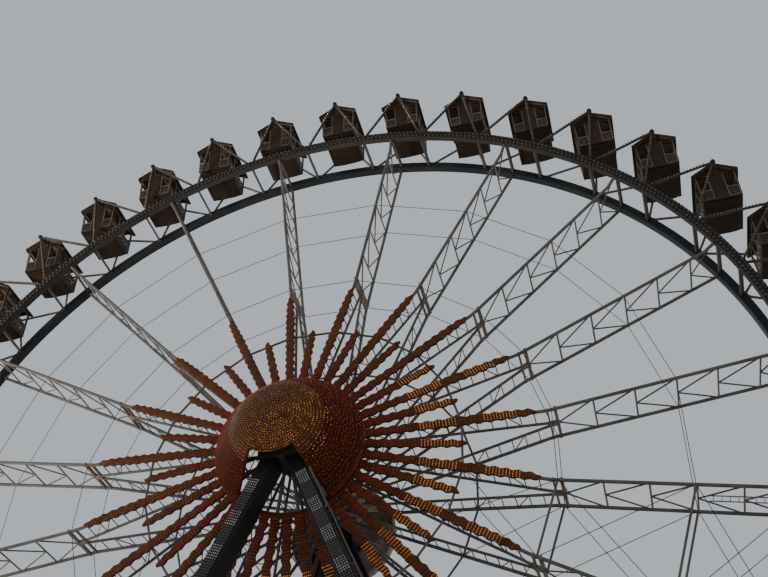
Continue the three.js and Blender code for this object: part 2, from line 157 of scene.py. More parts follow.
# Domes, whose profiles are points (distance from the axis, y) from the tip to the rim
DOME_SKIN = 0.07
DOME_PROFILE = (
    (0.0, -5.12), (0.8, -5.05), (1.2, -4.96), (1.53, -4.85), (1.76, -4.67), (1.95, -4.45),
    (2.4, -3.95), (2.85, -3.45), (3.05, -3.12), (3.06, -3.0), (3.06, -2.6),
)
DOME_RIM = (3.06, -3.03)
DOME_RIM_RADIUS = 0.035
SKIRT_ROWS = 4
SKIRT_PITCH = 0.09
RIM_LAMP_PITCH = 0.092
GOLD_LAMP_PITCH = 0.104
RED_LAMP_PITCH = 0.098
GOLD_RADIUS = 1.95
OPENING_BOTTOM = -3.4
OPENING_LEFT = -2.9
OPENING_RIGHT = 2.1
OPENING_CAP_RADIUS = 1.5
OPENING_LEFT_ANGLE = 53
OPENING_RIGHT_ANGLE = 60
COVER_PROFILE = (
    (0.0, 5.9), (0.8, 5.86), (1.2, 5.8), (1.55, 5.7), (1.85, 5.56),
    (2.1, 5.4), (2.28, 5.23), (2.4, 5.05), (2.44, 4.82), (2.44, 4.62),
)
COVER_RIBS = 16
STUD_ROW_PITCH = 0.13
STUD_PITCH = 0.14

# Stand: places on a leg are given by the drop below the hub
LEG_SPREAD_X = 0.4
LEG_SPREAD_Y = 0.15
LEG_TOP_Y = 3.3
LEG_HALF_WIDTH = 0.33
LEG_HALF_DEPTH = 0.5
LEG_FOOT_DROP = 26.0
LEG_JOINTS = (1.2, 10.6, 15.8, 21.0, LEG_FOOT_DROP)
HEAD_NEAR = 2.9
HEAD_FAR = 4.0
BEAM_HEIGHT = 0.6
BEAM_HALF = 0.45
BEAM_OVERHANG = 1.6

# Lamp boards on the front legs
STRIP_HALF = 0.23
STRIP_OFFSET = 0.03
STRIP_START = 2.15
STRIP_END = 24.0
MODULE_PITCH = 1.377
LIT_LENGTH = 0.62
LIT_ROWS = 6
DARK_ROWS = 7
DIODE_COLUMNS = 5
DIODE_PITCH = 0.088

# Climbing rails on the right front leg, out from its side and along its depth
RAIL_OUT = 0.13
RAIL_DEPTHS = (-0.42, -0.08)
RAIL_ENDS = (3.6, 24.6)
RAIL_STAY_PITCH = 2.4
TRAY_ENDS = (2.4, 24.8)
CABLE_DEPTHS = (0.2, 0.255, 0.31)
SIDE_LAMP_PITCH = 0.16

# Cabins, from the pivot of each
CABIN_Y = 0.122
WALL_HALF_DEPTH = 1.11
HALF_WIDTH_TOP = 0.93
HALF_WIDTH_BOTTOM = 0.85
WALL_TOP = -0.17
WALL_BOTTOM = -1.87
DOOR_HALF = 0.32
DOOR_BOARD = 0.128
GABLE_BOARD = 0.14
GABLE_BOTTOM = -0.26
BOARD_GAP = 0.002
SILL = -1.16
FLOOR_TOP = -1.81
SEAT_TOP = -1.37
ROOF_HALF_DEPTH = 1.28
ROOF_HALF_WIDTH = 1.05
ROOF_SLOPE = 0.583
ROOF_RIDGE = 0.4
ROOF_UNDERSIDE = 0.31

# Camera
CAMERA_FROM_HUB = (11.59, -35.86, -23.505)
CAMERA_YAW = 0.221
CAMERA_PITCH = 0.7394
CAMERA_ROLL = 0.0512
CAMERA_LENS = 48.77

# How strongly weathered surfaces mirror the sky
DULL_GLOSS = 0.16


class Wire:
    """An output socket that can be used in sums, each of which adds a maths node."""

    def __init__(self, plan, socket):
        self.plan = plan
        self.socket = socket

    def maths(self, operation, other):
        return self.plan.node("ShaderNodeMath", {0: self, 1: other}, operation=operation)

    def __add__(self, other):
        return self.maths("ADD", other)

    def __mul__(self, other):
        return self.maths("MULTIPLY", other)


class Plan:
    """A node tree under construction, for a material or for geometry."""

    def __init__(self, tree):
        self.tree = tree

    def node(self, kind, inputs, output=0, **settings):
        made = self.tree.nodes.new(kind)
        for name, value in settings.items():
            setattr(made, name, value)
        for key, value in inputs.items():
            if isinstance(value, Wire):
                self.tree.links.new(value.socket, made.inputs[key])
            else:
                made.inputs[key].default_value = value
        return Wire(self, made.outputs[output]) if made.outputs else None

    def noise(self, scale, stretch=(1.0, 1.0, 1.0), detail=4.0):
        """Noise over the object, stretched along each axis."""
        point = self.node("ShaderNodeTexCoord", {}, "Object")
        place = self.node("ShaderNodeMapping", {"Vector": point, "Scale": stretch})
        inputs = {"Vector": place, "Scale": scale, "Detail": detail, "Roughness": 0.6}
        return self.node("ShaderNodeTexNoise", inputs, "Fac")

    def between(self, low, high, value):
        """0 below low and 1 above high, with a smooth step."""
        inputs = {"Value": value, "From Min": low, "From Max": high, "To Min": 0.0, "To Max": 1.0}
        return self.node("ShaderNodeMapRange", inputs, interpolation_type="SMOOTHSTEP")

    def blend(self, share, first, second):
        """A colour that goes from the first to the second with share."""
        first, second = (c if isinstance(c, Wire) else (*c, 1.0) for c in (first, second))
        return self.node("ShaderNodeMix", {0: share, 6: first, 7: second}, 2, data_type="RGBA")

    def shader(self, colour, roughness, gloss=DULL_GLOSS, bump=None, depth=0.0, more=None):
        """Ends a material; bump is a height from 0 to 1 and depth its size in metres."""
        inputs = {"Base Color": colour, "Roughness": roughness, "Specular IOR Level": gloss}
        inputs.update(more or {})
        if bump is not None:
            normal = {"Height": bump, "Distance": depth, "Strength": 0.6}
            inputs["Normal"] = self.node("ShaderNodeBump", normal, "Normal")
        surface = self.node("ShaderNodeBsdfPrincipled", inputs, "BSDF")
        self.node("ShaderNodeOutputMaterial", {"Surface": surface})


def material_plan(name):
    material = bpy.data.materials.new(name)
    material.use_nodes = True
    material.node_tree.nodes.clear()
    return material, Plan(material.node_tree)


def paint(plan, colour, grime, roughness, metallic=0.0):
    """Weathered paint or metal: soft patches, rain streaks down it, and a fine tooth."""
    patches = plan.between(0.42, 0.68, plan.noise(1.3))
    runs = plan.between(0.5, 0.72, plan.noise(4.0, (2.2, 2.2, 0.18)))
    fine = plan.noise(38.0, detail=2.0)
    dirt = patches * 0.55 + runs * 0.3
    rough = dirt * 0.2 + fine * 0.12 + (roughness - 0.06)
    plan.shader(plan.blend(dirt, colour, grime), rough, bump=fine, depth=0.004, more={"Metallic": metallic})


def timber(plan, light, dark, stretch):
    """Stained boards whose grain runs along the axis with the least stretch."""
    grain = plan.noise(16.0, stretch, 6.0)
    boards = plan.between(0.4, 0.62, plan.noise(1.7, stretch))
    weather = plan.between(0.5, 0.75, plan.noise(2.6))
    shade = plan.between(0.3, 0.7, grain) * 0.6 + boards * 0.25 + weather * 0.15
    plan.shader(plan.blend(shade, light, dark), grain * 0.2 + 0.5, bump=grain, depth=0.006)


def lamp(plan, glass, glow, strength=0.0, gloss=DULL_GLOSS):
    """Small bulbs whose glass and glow vary a little from one to the next."""
    change = plan.between(0.35, 0.65, plan.noise(9.0, detail=1.0))
    dull, dim = ([value * share for value in colour] for colour, share in ((glass, 0.55), (glow, 0.5)))
    shine = {"Emission Color": plan.blend(change, glow, dim), "Emission Strength": strength}
    plan.shader(plan.blend(change, glass, dull), change * 0.2 + 0.2, gloss, more=shine)


def flame_paint(plan, red, worn_red, brown, worn_brown):
    """Red sheet that turns to orange-brown towards the tips of the rays."""
    point = plan.node("ShaderNodeTexCoord", {}, "Object")
    centred = plan.node("ShaderNodeVectorMath", {0: point, 1: HUB}, operation="SUBTRACT")
    reach = plan.node("ShaderNodeVectorMath", {0: centred}, "Value", operation="LENGTH")
    patches = plan.between(0.4, 0.66, plan.noise(3.2))
    fine = plan.noise(60.0, detail=2.0)
    root = plan.blend(patches, red, worn_red)
    tip = plan.blend(patches, brown, worn_brown)
    colour = plan.blend(plan.between(1.7, 4.2, reach), root, tip)
    plan.shader(colour, fine * 0.2 + 0.5, 0.05, fine, 0.003)


def dome_paint(plan, colour, worn):
    """Dome skin with soft patches and dust."""
    patches = plan.between(0.38, 0.66, plan.noise(2.4))
    dust = plan.between(0.45, 0.7, plan.noise(9.0, (1.0, 1.0, 0.4)))
    fine = plan.noise(50.0, detail=3.0)
    shade = patches * 0.6 + dust * 0.35
    plan.shader(plan.blend(shade, colour, worn), shade * 0.2 + 0.6, 0.03, fine, 0.004)


# Finishes by name, for each kind of surface: colours first, then what else it takes
ALONG_X = (0.12, 1.0, 1.0)
ALONG_Y = (1.0, 0.12, 1.0)
ALONG_Z = (1.0, 1.0, 0.12)
SURFACES = (
    (paint, {
        "stand_black": ((0.0135, 0.0128, 0.0125), (0.022, 0.02, 0.0175), 0.42),
        "head_brown_black": ((0.046, 0.039, 0.03), (0.03, 0.025, 0.019), 0.5),
        "base_dark_grey": ((0.025, 0.027, 0.03), (0.05, 0.046, 0.04), 0.6),
        "ring_blue_grey": ((0.019, 0.0215, 0.0235), (0.035, 0.033, 0.03), 0.45),
        "ring_brown_grey": ((0.046, 0.037, 0.031), (0.03, 0.024, 0.02), 0.55),
        "cross_taupe": ((0.1, 0.084, 0.073), (0.055, 0.043, 0.035), 0.5),
        "taupe_steel": ((0.125, 0.105, 0.092), (0.068, 0.053, 0.042), 0.48),
        "pale_steel": ((0.175, 0.15, 0.132), (0.09, 0.066, 0.052), 0.45),
        "rust_steel": ((0.06, 0.036, 0.026), (0.04, 0.02, 0.012), 0.62),
        "frame_brown": ((0.055, 0.042, 0.034), (0.034, 0.024, 0.019), 0.55),
        "bracket_tan": ((0.19, 0.138, 0.103), (0.11, 0.064, 0.042), 0.6),
        "cable_steel": ((0.035, 0.035, 0.037), (0.02, 0.019, 0.018), 0.5),
        "cover_grey": ((0.26, 0.18, 0.14), (0.17, 0.115, 0.09), 0.6),
        "stud_grey": ((0.45, 0.36, 0.29), (0.3, 0.23, 0.18), 0.5),
        "strip_olive_grey": ((0.022, 0.0185, 0.0145), (0.014, 0.012, 0.0095), 0.6),
        "bolt_steel": ((0.05, 0.047, 0.044), (0.03, 0.024, 0.02), 0.4, 0.3),
        "lamp_board": ((0.024, 0.022, 0.0205), (0.036, 0.032, 0.029), 0.5),
        "unlit_diode": ((0.16, 0.146, 0.133), (0.1, 0.09, 0.083), 0.4),
        "rim_red": ((0.085, 0.014, 0.008), (0.05, 0.011, 0.007), 0.7),
        "frame_pale": ((0.17, 0.14, 0.11), (0.09, 0.07, 0.054), 0.5),
        "panel_lilac": ((0.042, 0.027, 0.025), (0.027, 0.018, 0.017), 0.5),
        "motif_pale": ((0.36, 0.325, 0.28), (0.22, 0.195, 0.165), 0.5),
        # the pale ornament darkened as painted shade, for the scrolls on the cabins' shaded end walls
        "motif_dim": ((0.12, 0.1, 0.086), (0.075, 0.062, 0.053), 0.5),
        "knob_black": ((0.01, 0.009, 0.009), (0.02, 0.018, 0.016), 0.5),
    }),
    (timber, {
        "wall_brown": ((0.043, 0.0225, 0.0125), (0.03, 0.016, 0.009), ALONG_Z),
        "roof_brown": ((0.062, 0.04, 0.025), (0.038, 0.025, 0.016), ALONG_Y),
        "lining_ochre": ((0.14, 0.094, 0.06), (0.09, 0.06, 0.038), ALONG_Y),
        "under_brown": ((0.035, 0.0205, 0.0105), (0.028, 0.016, 0.0083), ALONG_Y),
        "trim_brown": ((0.042, 0.026, 0.017), (0.026, 0.017, 0.012), ALONG_X),
        "seat_brown": ((0.14, 0.08, 0.044), (0.05, 0.028, 0.016), ALONG_Y),
    }),
    (lamp, {
        "disc_pale": ((0.092, 0.079, 0.066), (1.0, 0.8, 0.65)),
        "bulb_clear": ((0.09, 0.075, 0.061), (1.0, 0.75, 0.6)),
        "bulb_pale": ((0.16, 0.13, 0.108), (1.0, 0.8, 0.65)),
        "bulb_frost": ((0.29, 0.175, 0.1), (1.0, 0.6, 0.35), 0.035),
        "bulb_red": ((0.2, 0.032, 0.016), (1.0, 0.16, 0.06), 0.07, 0.03),
        "bulb_rose": ((0.23, 0.058, 0.034), (1.0, 0.28, 0.14), 0.07, 0.03),
        "bulb_dim": ((0.15, 0.055, 0.02), (1.0, 0.38, 0.12), 0.06),
        "bulb_tan": ((0.15, 0.06, 0.025), (1.0, 0.42, 0.14), 0.07),
        "bulb_amber": ((0.34, 0.135, 0.04), (1.0, 0.4, 0.095), 0.46),
        "bulb_gold": ((0.28, 0.12, 0.032), (1.0, 0.44, 0.1), 0.27),
        "bulb_white": ((0.42, 0.41, 0.385), (1.0, 0.98, 0.94), 0.1),
    }),
    (flame_paint, {
        "flame_red": ((0.1, 0.024, 0.014), (0.065, 0.017, 0.01), (0.1, 0.037, 0.019), (0.062, 0.024, 0.012)),
    }),
    (dome_paint, {
        "dome_red": ((0.062, 0.0135, 0.0075), (0.034, 0.01, 0.006)),
        "dome_gold": ((0.095, 0.033, 0.013), (0.055, 0.022, 0.01)),
    }),
)
FINISHES = {}
for surface_kind, looks in SURFACES:
    for look, colours in looks.items():
        FINISHES[look], look_plan = material_plan(look)
        surface_kind(look_plan, *colours)


class Stock:
    """Closed solids gathered for one piece, each face with the name of its finish."""

    def __init__(self):
        self.points = []
        self.faces = []
        self.finishes = []

    def loft(self, rings, finish, endless=False):
        """Joins rings of points; endless joins the last to the first, and otherwise the ends are shut."""
        first = len(self.points)
        before = len(self.faces)
        size = len(rings[0])
        for ring in rings:
            self.points.extend(ring)
        for i in range(len(rings) if endless else len(rings) - 1):
            a = first + i * size
            b = first + (i + 1) % len(rings) * size
            for k in range(size):
                n = (k + 1) % size
                self.faces.append((a + k, a + n, b + n, b + k))
        if not endless:
            last = first + (len(rings) - 1) * size
            self.faces.extend(tuple(range(start, start + size)) for start in (first, last))
        self.finishes.extend([finish] * (len(self.faces) - before))

    def prism(self, outline, offset, finish):
        near = [Vector(point) for point in outline]
        self.loft([near, [point + Vector(offset) for point in near]], finish)

    def plate(self, outline, y, depth, finish):
        """A prism along y, from its outline of points (x, z)."""
        self.prism([(x, y, z) for x, z in outline], (0, depth, 0), finish)

    def box(self, low, high, finish):
        x0, y0, z0 = low
        x1, y1, z1 = high
        self.prism([(x, y, z0) for x, y in oblong(x0, y0, x1, y1)], (0, 0, z1 - z0), finish)

    def beam(self, start, end, width, depth, finish, facing=BACK, chamfer=0.0):
        """A straight bar with its depth along facing and its width across it."""
        start = Vector(start)
        end = Vector(end)
        axis = (end - start).normalized()
        across = axis.cross(facing).normalized()
        up = across.cross(axis)
        section = cut_corners(width / 2, depth / 2, chamfer)
        self.loft([[at + across * u + up * v for u, v in section] for at in (start, end)], finish)

    def turned(self, profile, sides, finish_of, middle=(0, 0, 0)):
        """A closed profile of (radius, y) turned about an axis along y; finish_of(i) is for edge i."""
        columns = []
        for radius, y in profile:
            turns = 1 if radius < 1e-6 else sides
            columns.append((len(self.points), turns))
            for angle in steps_of_turn(sides)[:turns]:
                self.points.append(Vector(middle) + polar(radius, angle, y))
        for i, (a, a_turns) in enumerate(columns):
            b, b_turns = columns[(i + 1) % len(columns)]
            if a_turns == 1 and b_turns == 1:
                continue
            for k in range(sides):
                n = (k + 1) % sides
                corners = [a + k % a_turns, a + n % a_turns, b + n % b_turns, b + k % b_turns]
                self.faces.append(tuple(dict.fromkeys(corners)))
                self.finishes.append(finish_of(i) if callable(finish_of) else finish_of)

    def mesh(self):
        mesh = bpy.data.meshes.new("stock")
        mesh.from_pydata([tuple(point) for point in self.points], [], self.faces)
        names = list(dict.fromkeys(self.finishes))
        for name in names:
            mesh.materials.append(FINISHES[name])
        mesh.polygons.foreach_set("material_index", [names.index(name) for name in self.finishes])
        work = bmesh.new()
        work.from_mesh(mesh)
        bmesh.ops.recalc_face_normals(work, faces=work.faces)
        work.to_mesh(mesh)
        work.free()
        return mesh


def cut_corners(half_width, half_depth, chamfer):
    """A rectangle's corners, each cut by a chamfer."""
    if not chamfer:
        return [(u * half_width, v * half_depth) for u, v in ((1, 1), (-1, 1), (-1, -1), (1, -1))]
    outline = []
    for u, v, turned in ((1, 1, 0), (-1, 1, 1), (-1, -1, 0), (1, -1, 1)):
        side = (u * half_width, v * (half_depth - chamfer))
        above = (u * (half_width - chamfer), v * half_depth)
        outline.extend((above, side) if turned else (side, above))
    return outline


def oblong(u0, v0, u1, v1):
    return ((u0, v0), (u1, v0), (u1, v1), (u0, v1))


def polar(radius, angle, y=0.0):
    return Vector((radius * cos(angle), y, radius * sin(angle)))


def beside(radius, across, angle, y=0.0):
    """A point at a distance from the axis, moved across that radius."""
    return polar(radius, angle, y) + across * Vector((-sin(angle), 0, cos(angle)))


def steps_of_turn(count, start=0.0):
    return [start + 2 * pi * k / count for k in range(count)]


def spaced(start, end, pitch):
    """Values from start, a pitch apart, that are less than end."""
    values = []
    while start < end:
        values.append(start)
        start += pitch
    return values


def cabin_angle(index):
    return FIRST_ANGLE - index * CABIN_STEP


def spoke_angle(index):
    return FIRST_ANGLE - index * SPOKE_STEP


def growth_tree(name, inputs, build):
    """A geometry tree with named inputs; build(plan, wires) gives the shape before its finish."""
    tree = bpy.data.node_groups.new(name, "GeometryNodeTree")
    for label, kind in (("Geometry", "Geometry"), *inputs, ("Finish", "Material")):
        tree.interface.new_socket(label, in_out="INPUT", socket_type="NodeSocket" + kind)
    tree.interface.new_socket("Geometry", in_out="OUTPUT", socket_type="NodeSocketGeometry")
    plan = Plan(tree)
    entry = plan.node("NodeGroupInput", {}).socket.node
    wires = {socket.name: Wire(plan, socket) for socket in entry.outputs if socket.name}
    real = plan.node("GeometryNodeRealizeInstances", {"Geometry": build(plan, wires)})
    finish = {"Geometry": real, "Material": wires["Finish"]}
    plan.node("NodeGroupOutput", {0: plan.node("GeometryNodeSetMaterial", finish)})
    return tree


def round_bar_nodes(plan, wires):
    line = plan.node("GeometryNodeMeshToCurve", {"Mesh": wires["Geometry"]})
    circle = {"Resolution": wires["Sides"], "Radius": wires["Radius"]}
    section = plan.node("GeometryNodeCurvePrimitiveCircle", circle, mode="RADIUS")
    sweep = {"Curve": line, "Profile Curve": section, "Fill Caps": True}
    return plan.node("GeometryNodeCurveToMesh", sweep)


def bulb_nodes(plan, wires):
    ball = {"Radius": wires["Radius"], "Subdivisions": 1}
    bulb = plan.node("GeometryNodeMeshIcoSphere", ball, "Mesh")
    return plan.node("GeometryNodeInstanceOnPoints", {"Points": wires["Geometry"], "Instance": bulb})


def stud_nodes(plan, wires):
    shape = {"Vertices": wires["Sides"], "Radius": wires["Radius"], "Depth": wires["Height"]}
    stud = plan.node("GeometryNodeMeshCylinder", shape, "Mesh")
    facing = plan.node("GeometryNodeInputNamedAttribute", {"Name": "facing"}, data_type="FLOAT_VECTOR")
    turn = plan.node("FunctionNodeAlignRotationToVector", {"Vector": facing}, axis="Z")
    spots = {"Points": wires["Geometry"], "Instance": stud, "Rotation": turn}
    return plan.node("GeometryNodeInstanceOnPoints", spots)


RADIUS = ("Radius", "Float")
SIDES = ("Sides", "Int")
ROUND_BARS = growth_tree("round_bars", (RADIUS, SIDES), round_bar_nodes)
BULBS = growth_tree("bulbs", (RADIUS,), bulb_nodes)
STUDS = growth_tree("studs", (RADIUS, ("Height", "Float"), SIDES), stud_nodes)


def added(name, data):
    """A new object in the scene."""
    item = bpy.data.objects.new(name, data)
    bpy.context.scene.collection.objects.link(item)
    return item


def mesh_after(item, modifier):
    """The plain mesh of an object after its one modifier; the object is removed."""
    graph = bpy.context.evaluated_depsgraph_get()
    mesh = bpy.data.meshes.new_from_object(item.evaluated_get(graph), depsgraph=graph)
    item.modifiers.remove(modifier)
    bpy.data.objects.remove(item)
    return mesh


def grown(tree, base, finish, sizes):
    """The plain mesh that a tree makes from a base mesh with the given sizes."""
    sizes["Finish"] = FINISHES[finish]
    holder = added("holder", base)
    modifier = holder.modifiers.new("growth", "NODES")
    modifier.node_group = tree
    for item in tree.interface.items_tree:
        if item.in_out == "INPUT" and item.name in sizes:
            modifier[item.identifier] = sizes[item.name]
    mesh = mesh_after(holder, modifier)
    bpy.data.meshes.remove(base)
    return mesh


def base_mesh(points, edges=()):
    mesh = bpy.data.meshes.new("base")
    mesh.from_pydata([tuple(point) for point in points], edges, [])
    return mesh


def round_bars(bars, radius, finish, sides=8):
    """Round bars, each along its own list of points."""
    points = []
    edges = []
    for bar in bars:
        edges.extend((len(points) + i, len(points) + i + 1) for i in range(len(bar) - 1))
        points.extend(bar)
    return grown(ROUND_BARS, base_mesh(points, edges), finish, {"Radius": radius, "Sides": sides})


def bulbs(points, radius, finish):
    return grown(BULBS, base_mesh(points), finish, {"Radius": radius})


def studs(spots, radius, height, finish, sides=6):
    """Short round studs, one for each spot (point, facing)."""
    mesh = base_mesh([point for point, _ in spots])
    attribute = mesh.attributes.new("facing", "FLOAT_VECTOR", "POINT")
    attribute.data.foreach_set("vector", [value for _, facing in spots for value in facing])
    return grown(STUDS, mesh, finish, {"Radius": radius, "Height": height, "Sides": sides})


def one_piece(name, meshes, body, replaces=(), centre=HUB, sharp=35):
    """Joins meshes into one object on its body, scaled and moved to its place on the model."""
    work = bmesh.new()
    finishes = []
    for mesh in meshes:
        first = len(work.faces)
        work.from_mesh(mesh)
        work.faces.ensure_lookup_table()
        finishes.extend(material for material in mesh.materials if material not in finishes)
        order = [finishes.index(material) for material in mesh.materials]
        for face in work.faces[first:]:
            face.material_index = order[face.material_index]
            face.smooth = True
    work.transform(Matrix.Translation(centre) @ Matrix.Scale(SCALE, 4))
    joined = bpy.data.meshes.new(name)
    work.to_mesh(joined)
    work.free()
    for material in finishes:
        joined.materials.append(material)
    joined.set_sharp_from_angle(angle=radians(sharp))
    piece = added(name, joined)
    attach(piece, body)
    if replaces:
        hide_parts(*replaces)
    return piece


# Rim rings
def ring_mesh(radius, y, half_depth, finish):
    """A rectangular tube bent to a smooth ring."""
    stock = Stock()
    section = cut_corners(RING_HALF_HEIGHT, half_depth, RING_CHAMFER)
    angles = steps_of_turn(RING_SIDES, FIRST_ANGLE)
    stock.loft([[polar(radius + u, a, y + v) for u, v in section] for a in angles], finish, True)
    return stock.mesh()


def lamp_strip():
    """The scalloped strip on the face of the front ring, with two staggered rows of lamps."""
    radius, y = FRONT_RING
    face = y - FRONT_RING_HALF_DEPTH
    count = CABINS * DISCS_PER_SEGMENT
    rings = []
    for k, angle in enumerate(steps_of_turn(4 * count, FIRST_ANGLE)):
        half = RING_HALF_HEIGHT - 0.006 + 0.012 * cos(pi * k / 2)
        section = oblong(-half, 0.01, half, -LAMP_STRIP_DEPTH)
        rings.append([polar(radius + u, angle, face + v) for u, v in section])
    stock = Stock()
    stock.loft(rings, "strip_olive_grey", endless=True)
    discs = []
    lenses = []
    front = face - LAMP_STRIP_DEPTH
    for k in range(count):
        for row, shift in ((DISC_ROW, 0.0), (-DISC_ROW, 0.5)):
            angle = FIRST_ANGLE + 2 * pi * (k + shift) / count
            discs.append((polar(radius + row, angle, front - DISC_HEIGHT / 2), FORWARD))
            lenses.append(polar(radius + row, angle, front - DISC_HEIGHT))
    return [
        stock.mesh(),
        studs(discs, DISC_RADIUS, DISC_HEIGHT, "disc_pale", 8),
        bulbs(lenses, DISC_RADIUS * 0.6, "bulb_clear"),
    ]


def cross_bars():
    """Upright flat bars that join the two rings, with end plates and small gussets at the rear."""
    stock = Stock()
    angles = [cabin_angle(i + 0.5) for i in range(CABINS)] + [spoke_angle(i) for i in range(SPOKES)]
    radius = REAR_RING[0]
    rear_face = REAR_RING[1] - REAR_RING_HALF_DEPTH
    for angle in angles:
        outward = polar(1, angle)
        front = polar(FRONT_RING[0], angle, FRONT_RING[1] + FRONT_RING_HALF_DEPTH)
        rear = polar(radius, angle, rear_face)
        stock.beam(front, rear, CROSS_BAR_WIDTH, CROSS_BAR_HEIGHT, "cross_taupe", outward, 0.012)
        run = (rear - front).normalized() * 0.03
        for start, end in ((front, front + run), (rear - run, rear)):
            stock.beam(start, end, CROSS_PLATE_WIDTH, CROSS_PLATE_HEIGHT, "rust_steel", outward, 0.02)
        for side in (-1, 1):
            edge = side * CROSS_BAR_WIDTH * 0.45
            corners = ((edge, 0.0), (edge + side * 0.1, 0.0), (edge, 0.2))
            flat = [beside(radius, u, angle, rear_face - v) - polar(0.02, angle) for u, v in corners]
            stock.prism(flat, polar(0.04, angle), "rust_steel")
    return stock.mesh()


# A-frames
def a_frame(ring, pivot_y, lit):
    """Two bars from the rim to each bearing, with feet and housings; lit bars carry bulbs."""
    radius, y = ring
    base = radius + RING_HALF_HEIGHT
    lip = HOUSING_RADIUS + 0.012
    half = HOUSING_HALF
    housing = ((HOUSING_BORE, -half), (HOUSING_RADIUS, -half), (lip, 0.02 - half))
    housing += ((lip, half - 0.02), (HOUSING_RADIUS, half), (HOUSING_BORE, half))
    gusset = ((-0.2, -0.01, -0.02), (0.2, -0.01, -0.02), (0.2, 0.16, -0.03))
    gusset += ((0.0, 0.08, -0.025), (-0.2, 0.16, -0.03))
    bars = []
    lamps = []
    stock = Stock()
    for i in range(CABINS):
        apex = polar(PIVOT_RADIUS, cabin_angle(i), pivot_y)
        stock.turned(housing, 14, "frame_brown", apex)
        for side in (-0.5, 0.5):
            angle = cabin_angle(i + side)
            foot = polar(base, angle, y) + beside(0, 0.18 * side, angle)
            run = (apex - foot).normalized()
            bars.append((foot - run * 0.04, apex - run * (HOUSING_RADIUS - 0.02)))
            for k in range(int(((apex - foot).length - 0.5) / FRAME_LAMP_PITCH)):
                at = foot + run * (0.22 + k * FRAME_LAMP_PITCH)
                lamps.append(at - BACK * (FRAME_BAR_RADIUS + 0.022))
        valley = cabin_angle(i + 0.5)
        flat = [beside(base + rise, across, valley, y + v) for across, rise, v in gusset]
        stock.prism(flat, 0.04 * BACK, "rust_steel")
    meshes = [round_bars(bars, FRAME_BAR_RADIUS, "frame_brown" if lit else "taupe_steel"), stock.mesh()]
    if lit:
        meshes.append(bulbs(lamps, FRAME_LAMP_RADIUS, "bulb_pale"))
    return meshes


# Spokes
def at_radius(chord, radius):
    """The y of a bent chord at a distance from the axis."""
    for (r0, y0), (r1, y1) in zip(chord, chord[1:]):
        if r0 <= radius <= r1:
            return y0 + (y1 - y0) * (radius - r0) / (r1 - r0)
    return chord[-1][1]


def spoke_bars():
    """One spoke's bars, as lists of points (distance from the axis, y), with radius, finish and sides."""
    posts = []
    diagonals = []
    rungs = []
    knot = (BRACKET_OUTER + 0.05, MIDDLE_Y)
    for place in POST_PLACES:
        front = (place, at_radius(FRONT_CHORD, place))
        rear = (place, at_radius(REAR_CHORD, place))
        posts.append((front, rear))
        diagonals.extend(((knot, front), (knot, rear)))
        knot = (place, (front[1] + rear[1]) / 2)
    diagonals.extend((knot, end) for end in ((19.95, -0.92), (20.1, 1.33)))
    for outer, inner in ((FRONT_CHORD, FRONT_INNER_CHORD), (REAR_CHORD, REAR_INNER_CHORD)):
        for step, place in enumerate(spaced(HUB_END + 0.75, BRACKET_INNER - 0.25, RUNG_PITCH)):
            slants = (0, RUNG_PITCH) if step % 3 == 0 and place < STRUT_RUNGS_END else (0,)
            start = (place, at_radius(outer, place))
            rungs.extend((start, (place + slant, at_radius(inner, place + slant))) for slant in slants)
    return (
        ((FRONT_CHORD, REAR_CHORD), CHORD_RADIUS, "taupe_steel", 10),
        ((FRONT_INNER_CHORD, REAR_INNER_CHORD), INNER_CHORD_RADIUS, "taupe_steel", 8),
        (posts, POST_RADIUS, "pale_steel", 6),
        (diagonals, DIAGONAL_RADIUS, "taupe_steel", 6),
        (rungs, RUNG_RADIUS, "taupe_steel", 5),
    )


def spoke_bracket(stock, angle):
    """The H-shaped bracket where the ladders of one spoke meet its truss, and its root plates."""

    def bar(r0, y0, r1, y1, width, depth, facing=BACK, chamfer=0.01, finish="bracket_tan"):
        stock.beam(polar(r0, angle, y0), polar(r1, angle, y1), width, depth, finish, facing, chamfer)

    for radius, width, depth in ((BRACKET_INNER, 0.12, 0.07), (BRACKET_OUTER, 0.14, 0.12)):
        bar(radius, BRACKET_FRONT, radius, BRACKET_REAR, width, depth, polar(1, angle))
    bar(BRACKET_INNER - 0.04, MIDDLE_Y, BRACKET_OUTER + 0.08, MIDDLE_Y, 0.16, 0.24, chamfer=0.012)
    for y in (BRACKET_FRONT + 0.1, BRACKET_REAR - 0.1):
        bar(BRACKET_INNER, y, BRACKET_OUTER, y, 0.1, 0.1)
    for chord in (FRONT_CHORD, FRONT_INNER_CHORD, REAR_INNER_CHORD, REAR_CHORD):
        y = chord[0][1]
        bar(HUB_END - 0.02, y, HUB_END + 0.16, y, 0.16, 0.12, BACK, 0.012, "taupe_steel")


def flange_sector(stock, group):
    """One quarter of each hub flange."""
    gap = radians(0.2)
    steps = 12
    start = spoke_angle(group * PER_GROUP - 0.5) - gap
    end = spoke_angle(group * PER_GROUP + PER_GROUP - 0.5) + gap
    angles = [start + (end - start) * k / steps for k in range(steps + 1)]
    for front, rear in FLANGES:
        section = oblong(DRUM_RADIUS + 0.01, front, FLANGE_RADIUS, rear)
        stock.loft([[polar(radius, angle, y) for radius, y in section] for angle in angles], "taupe_steel")


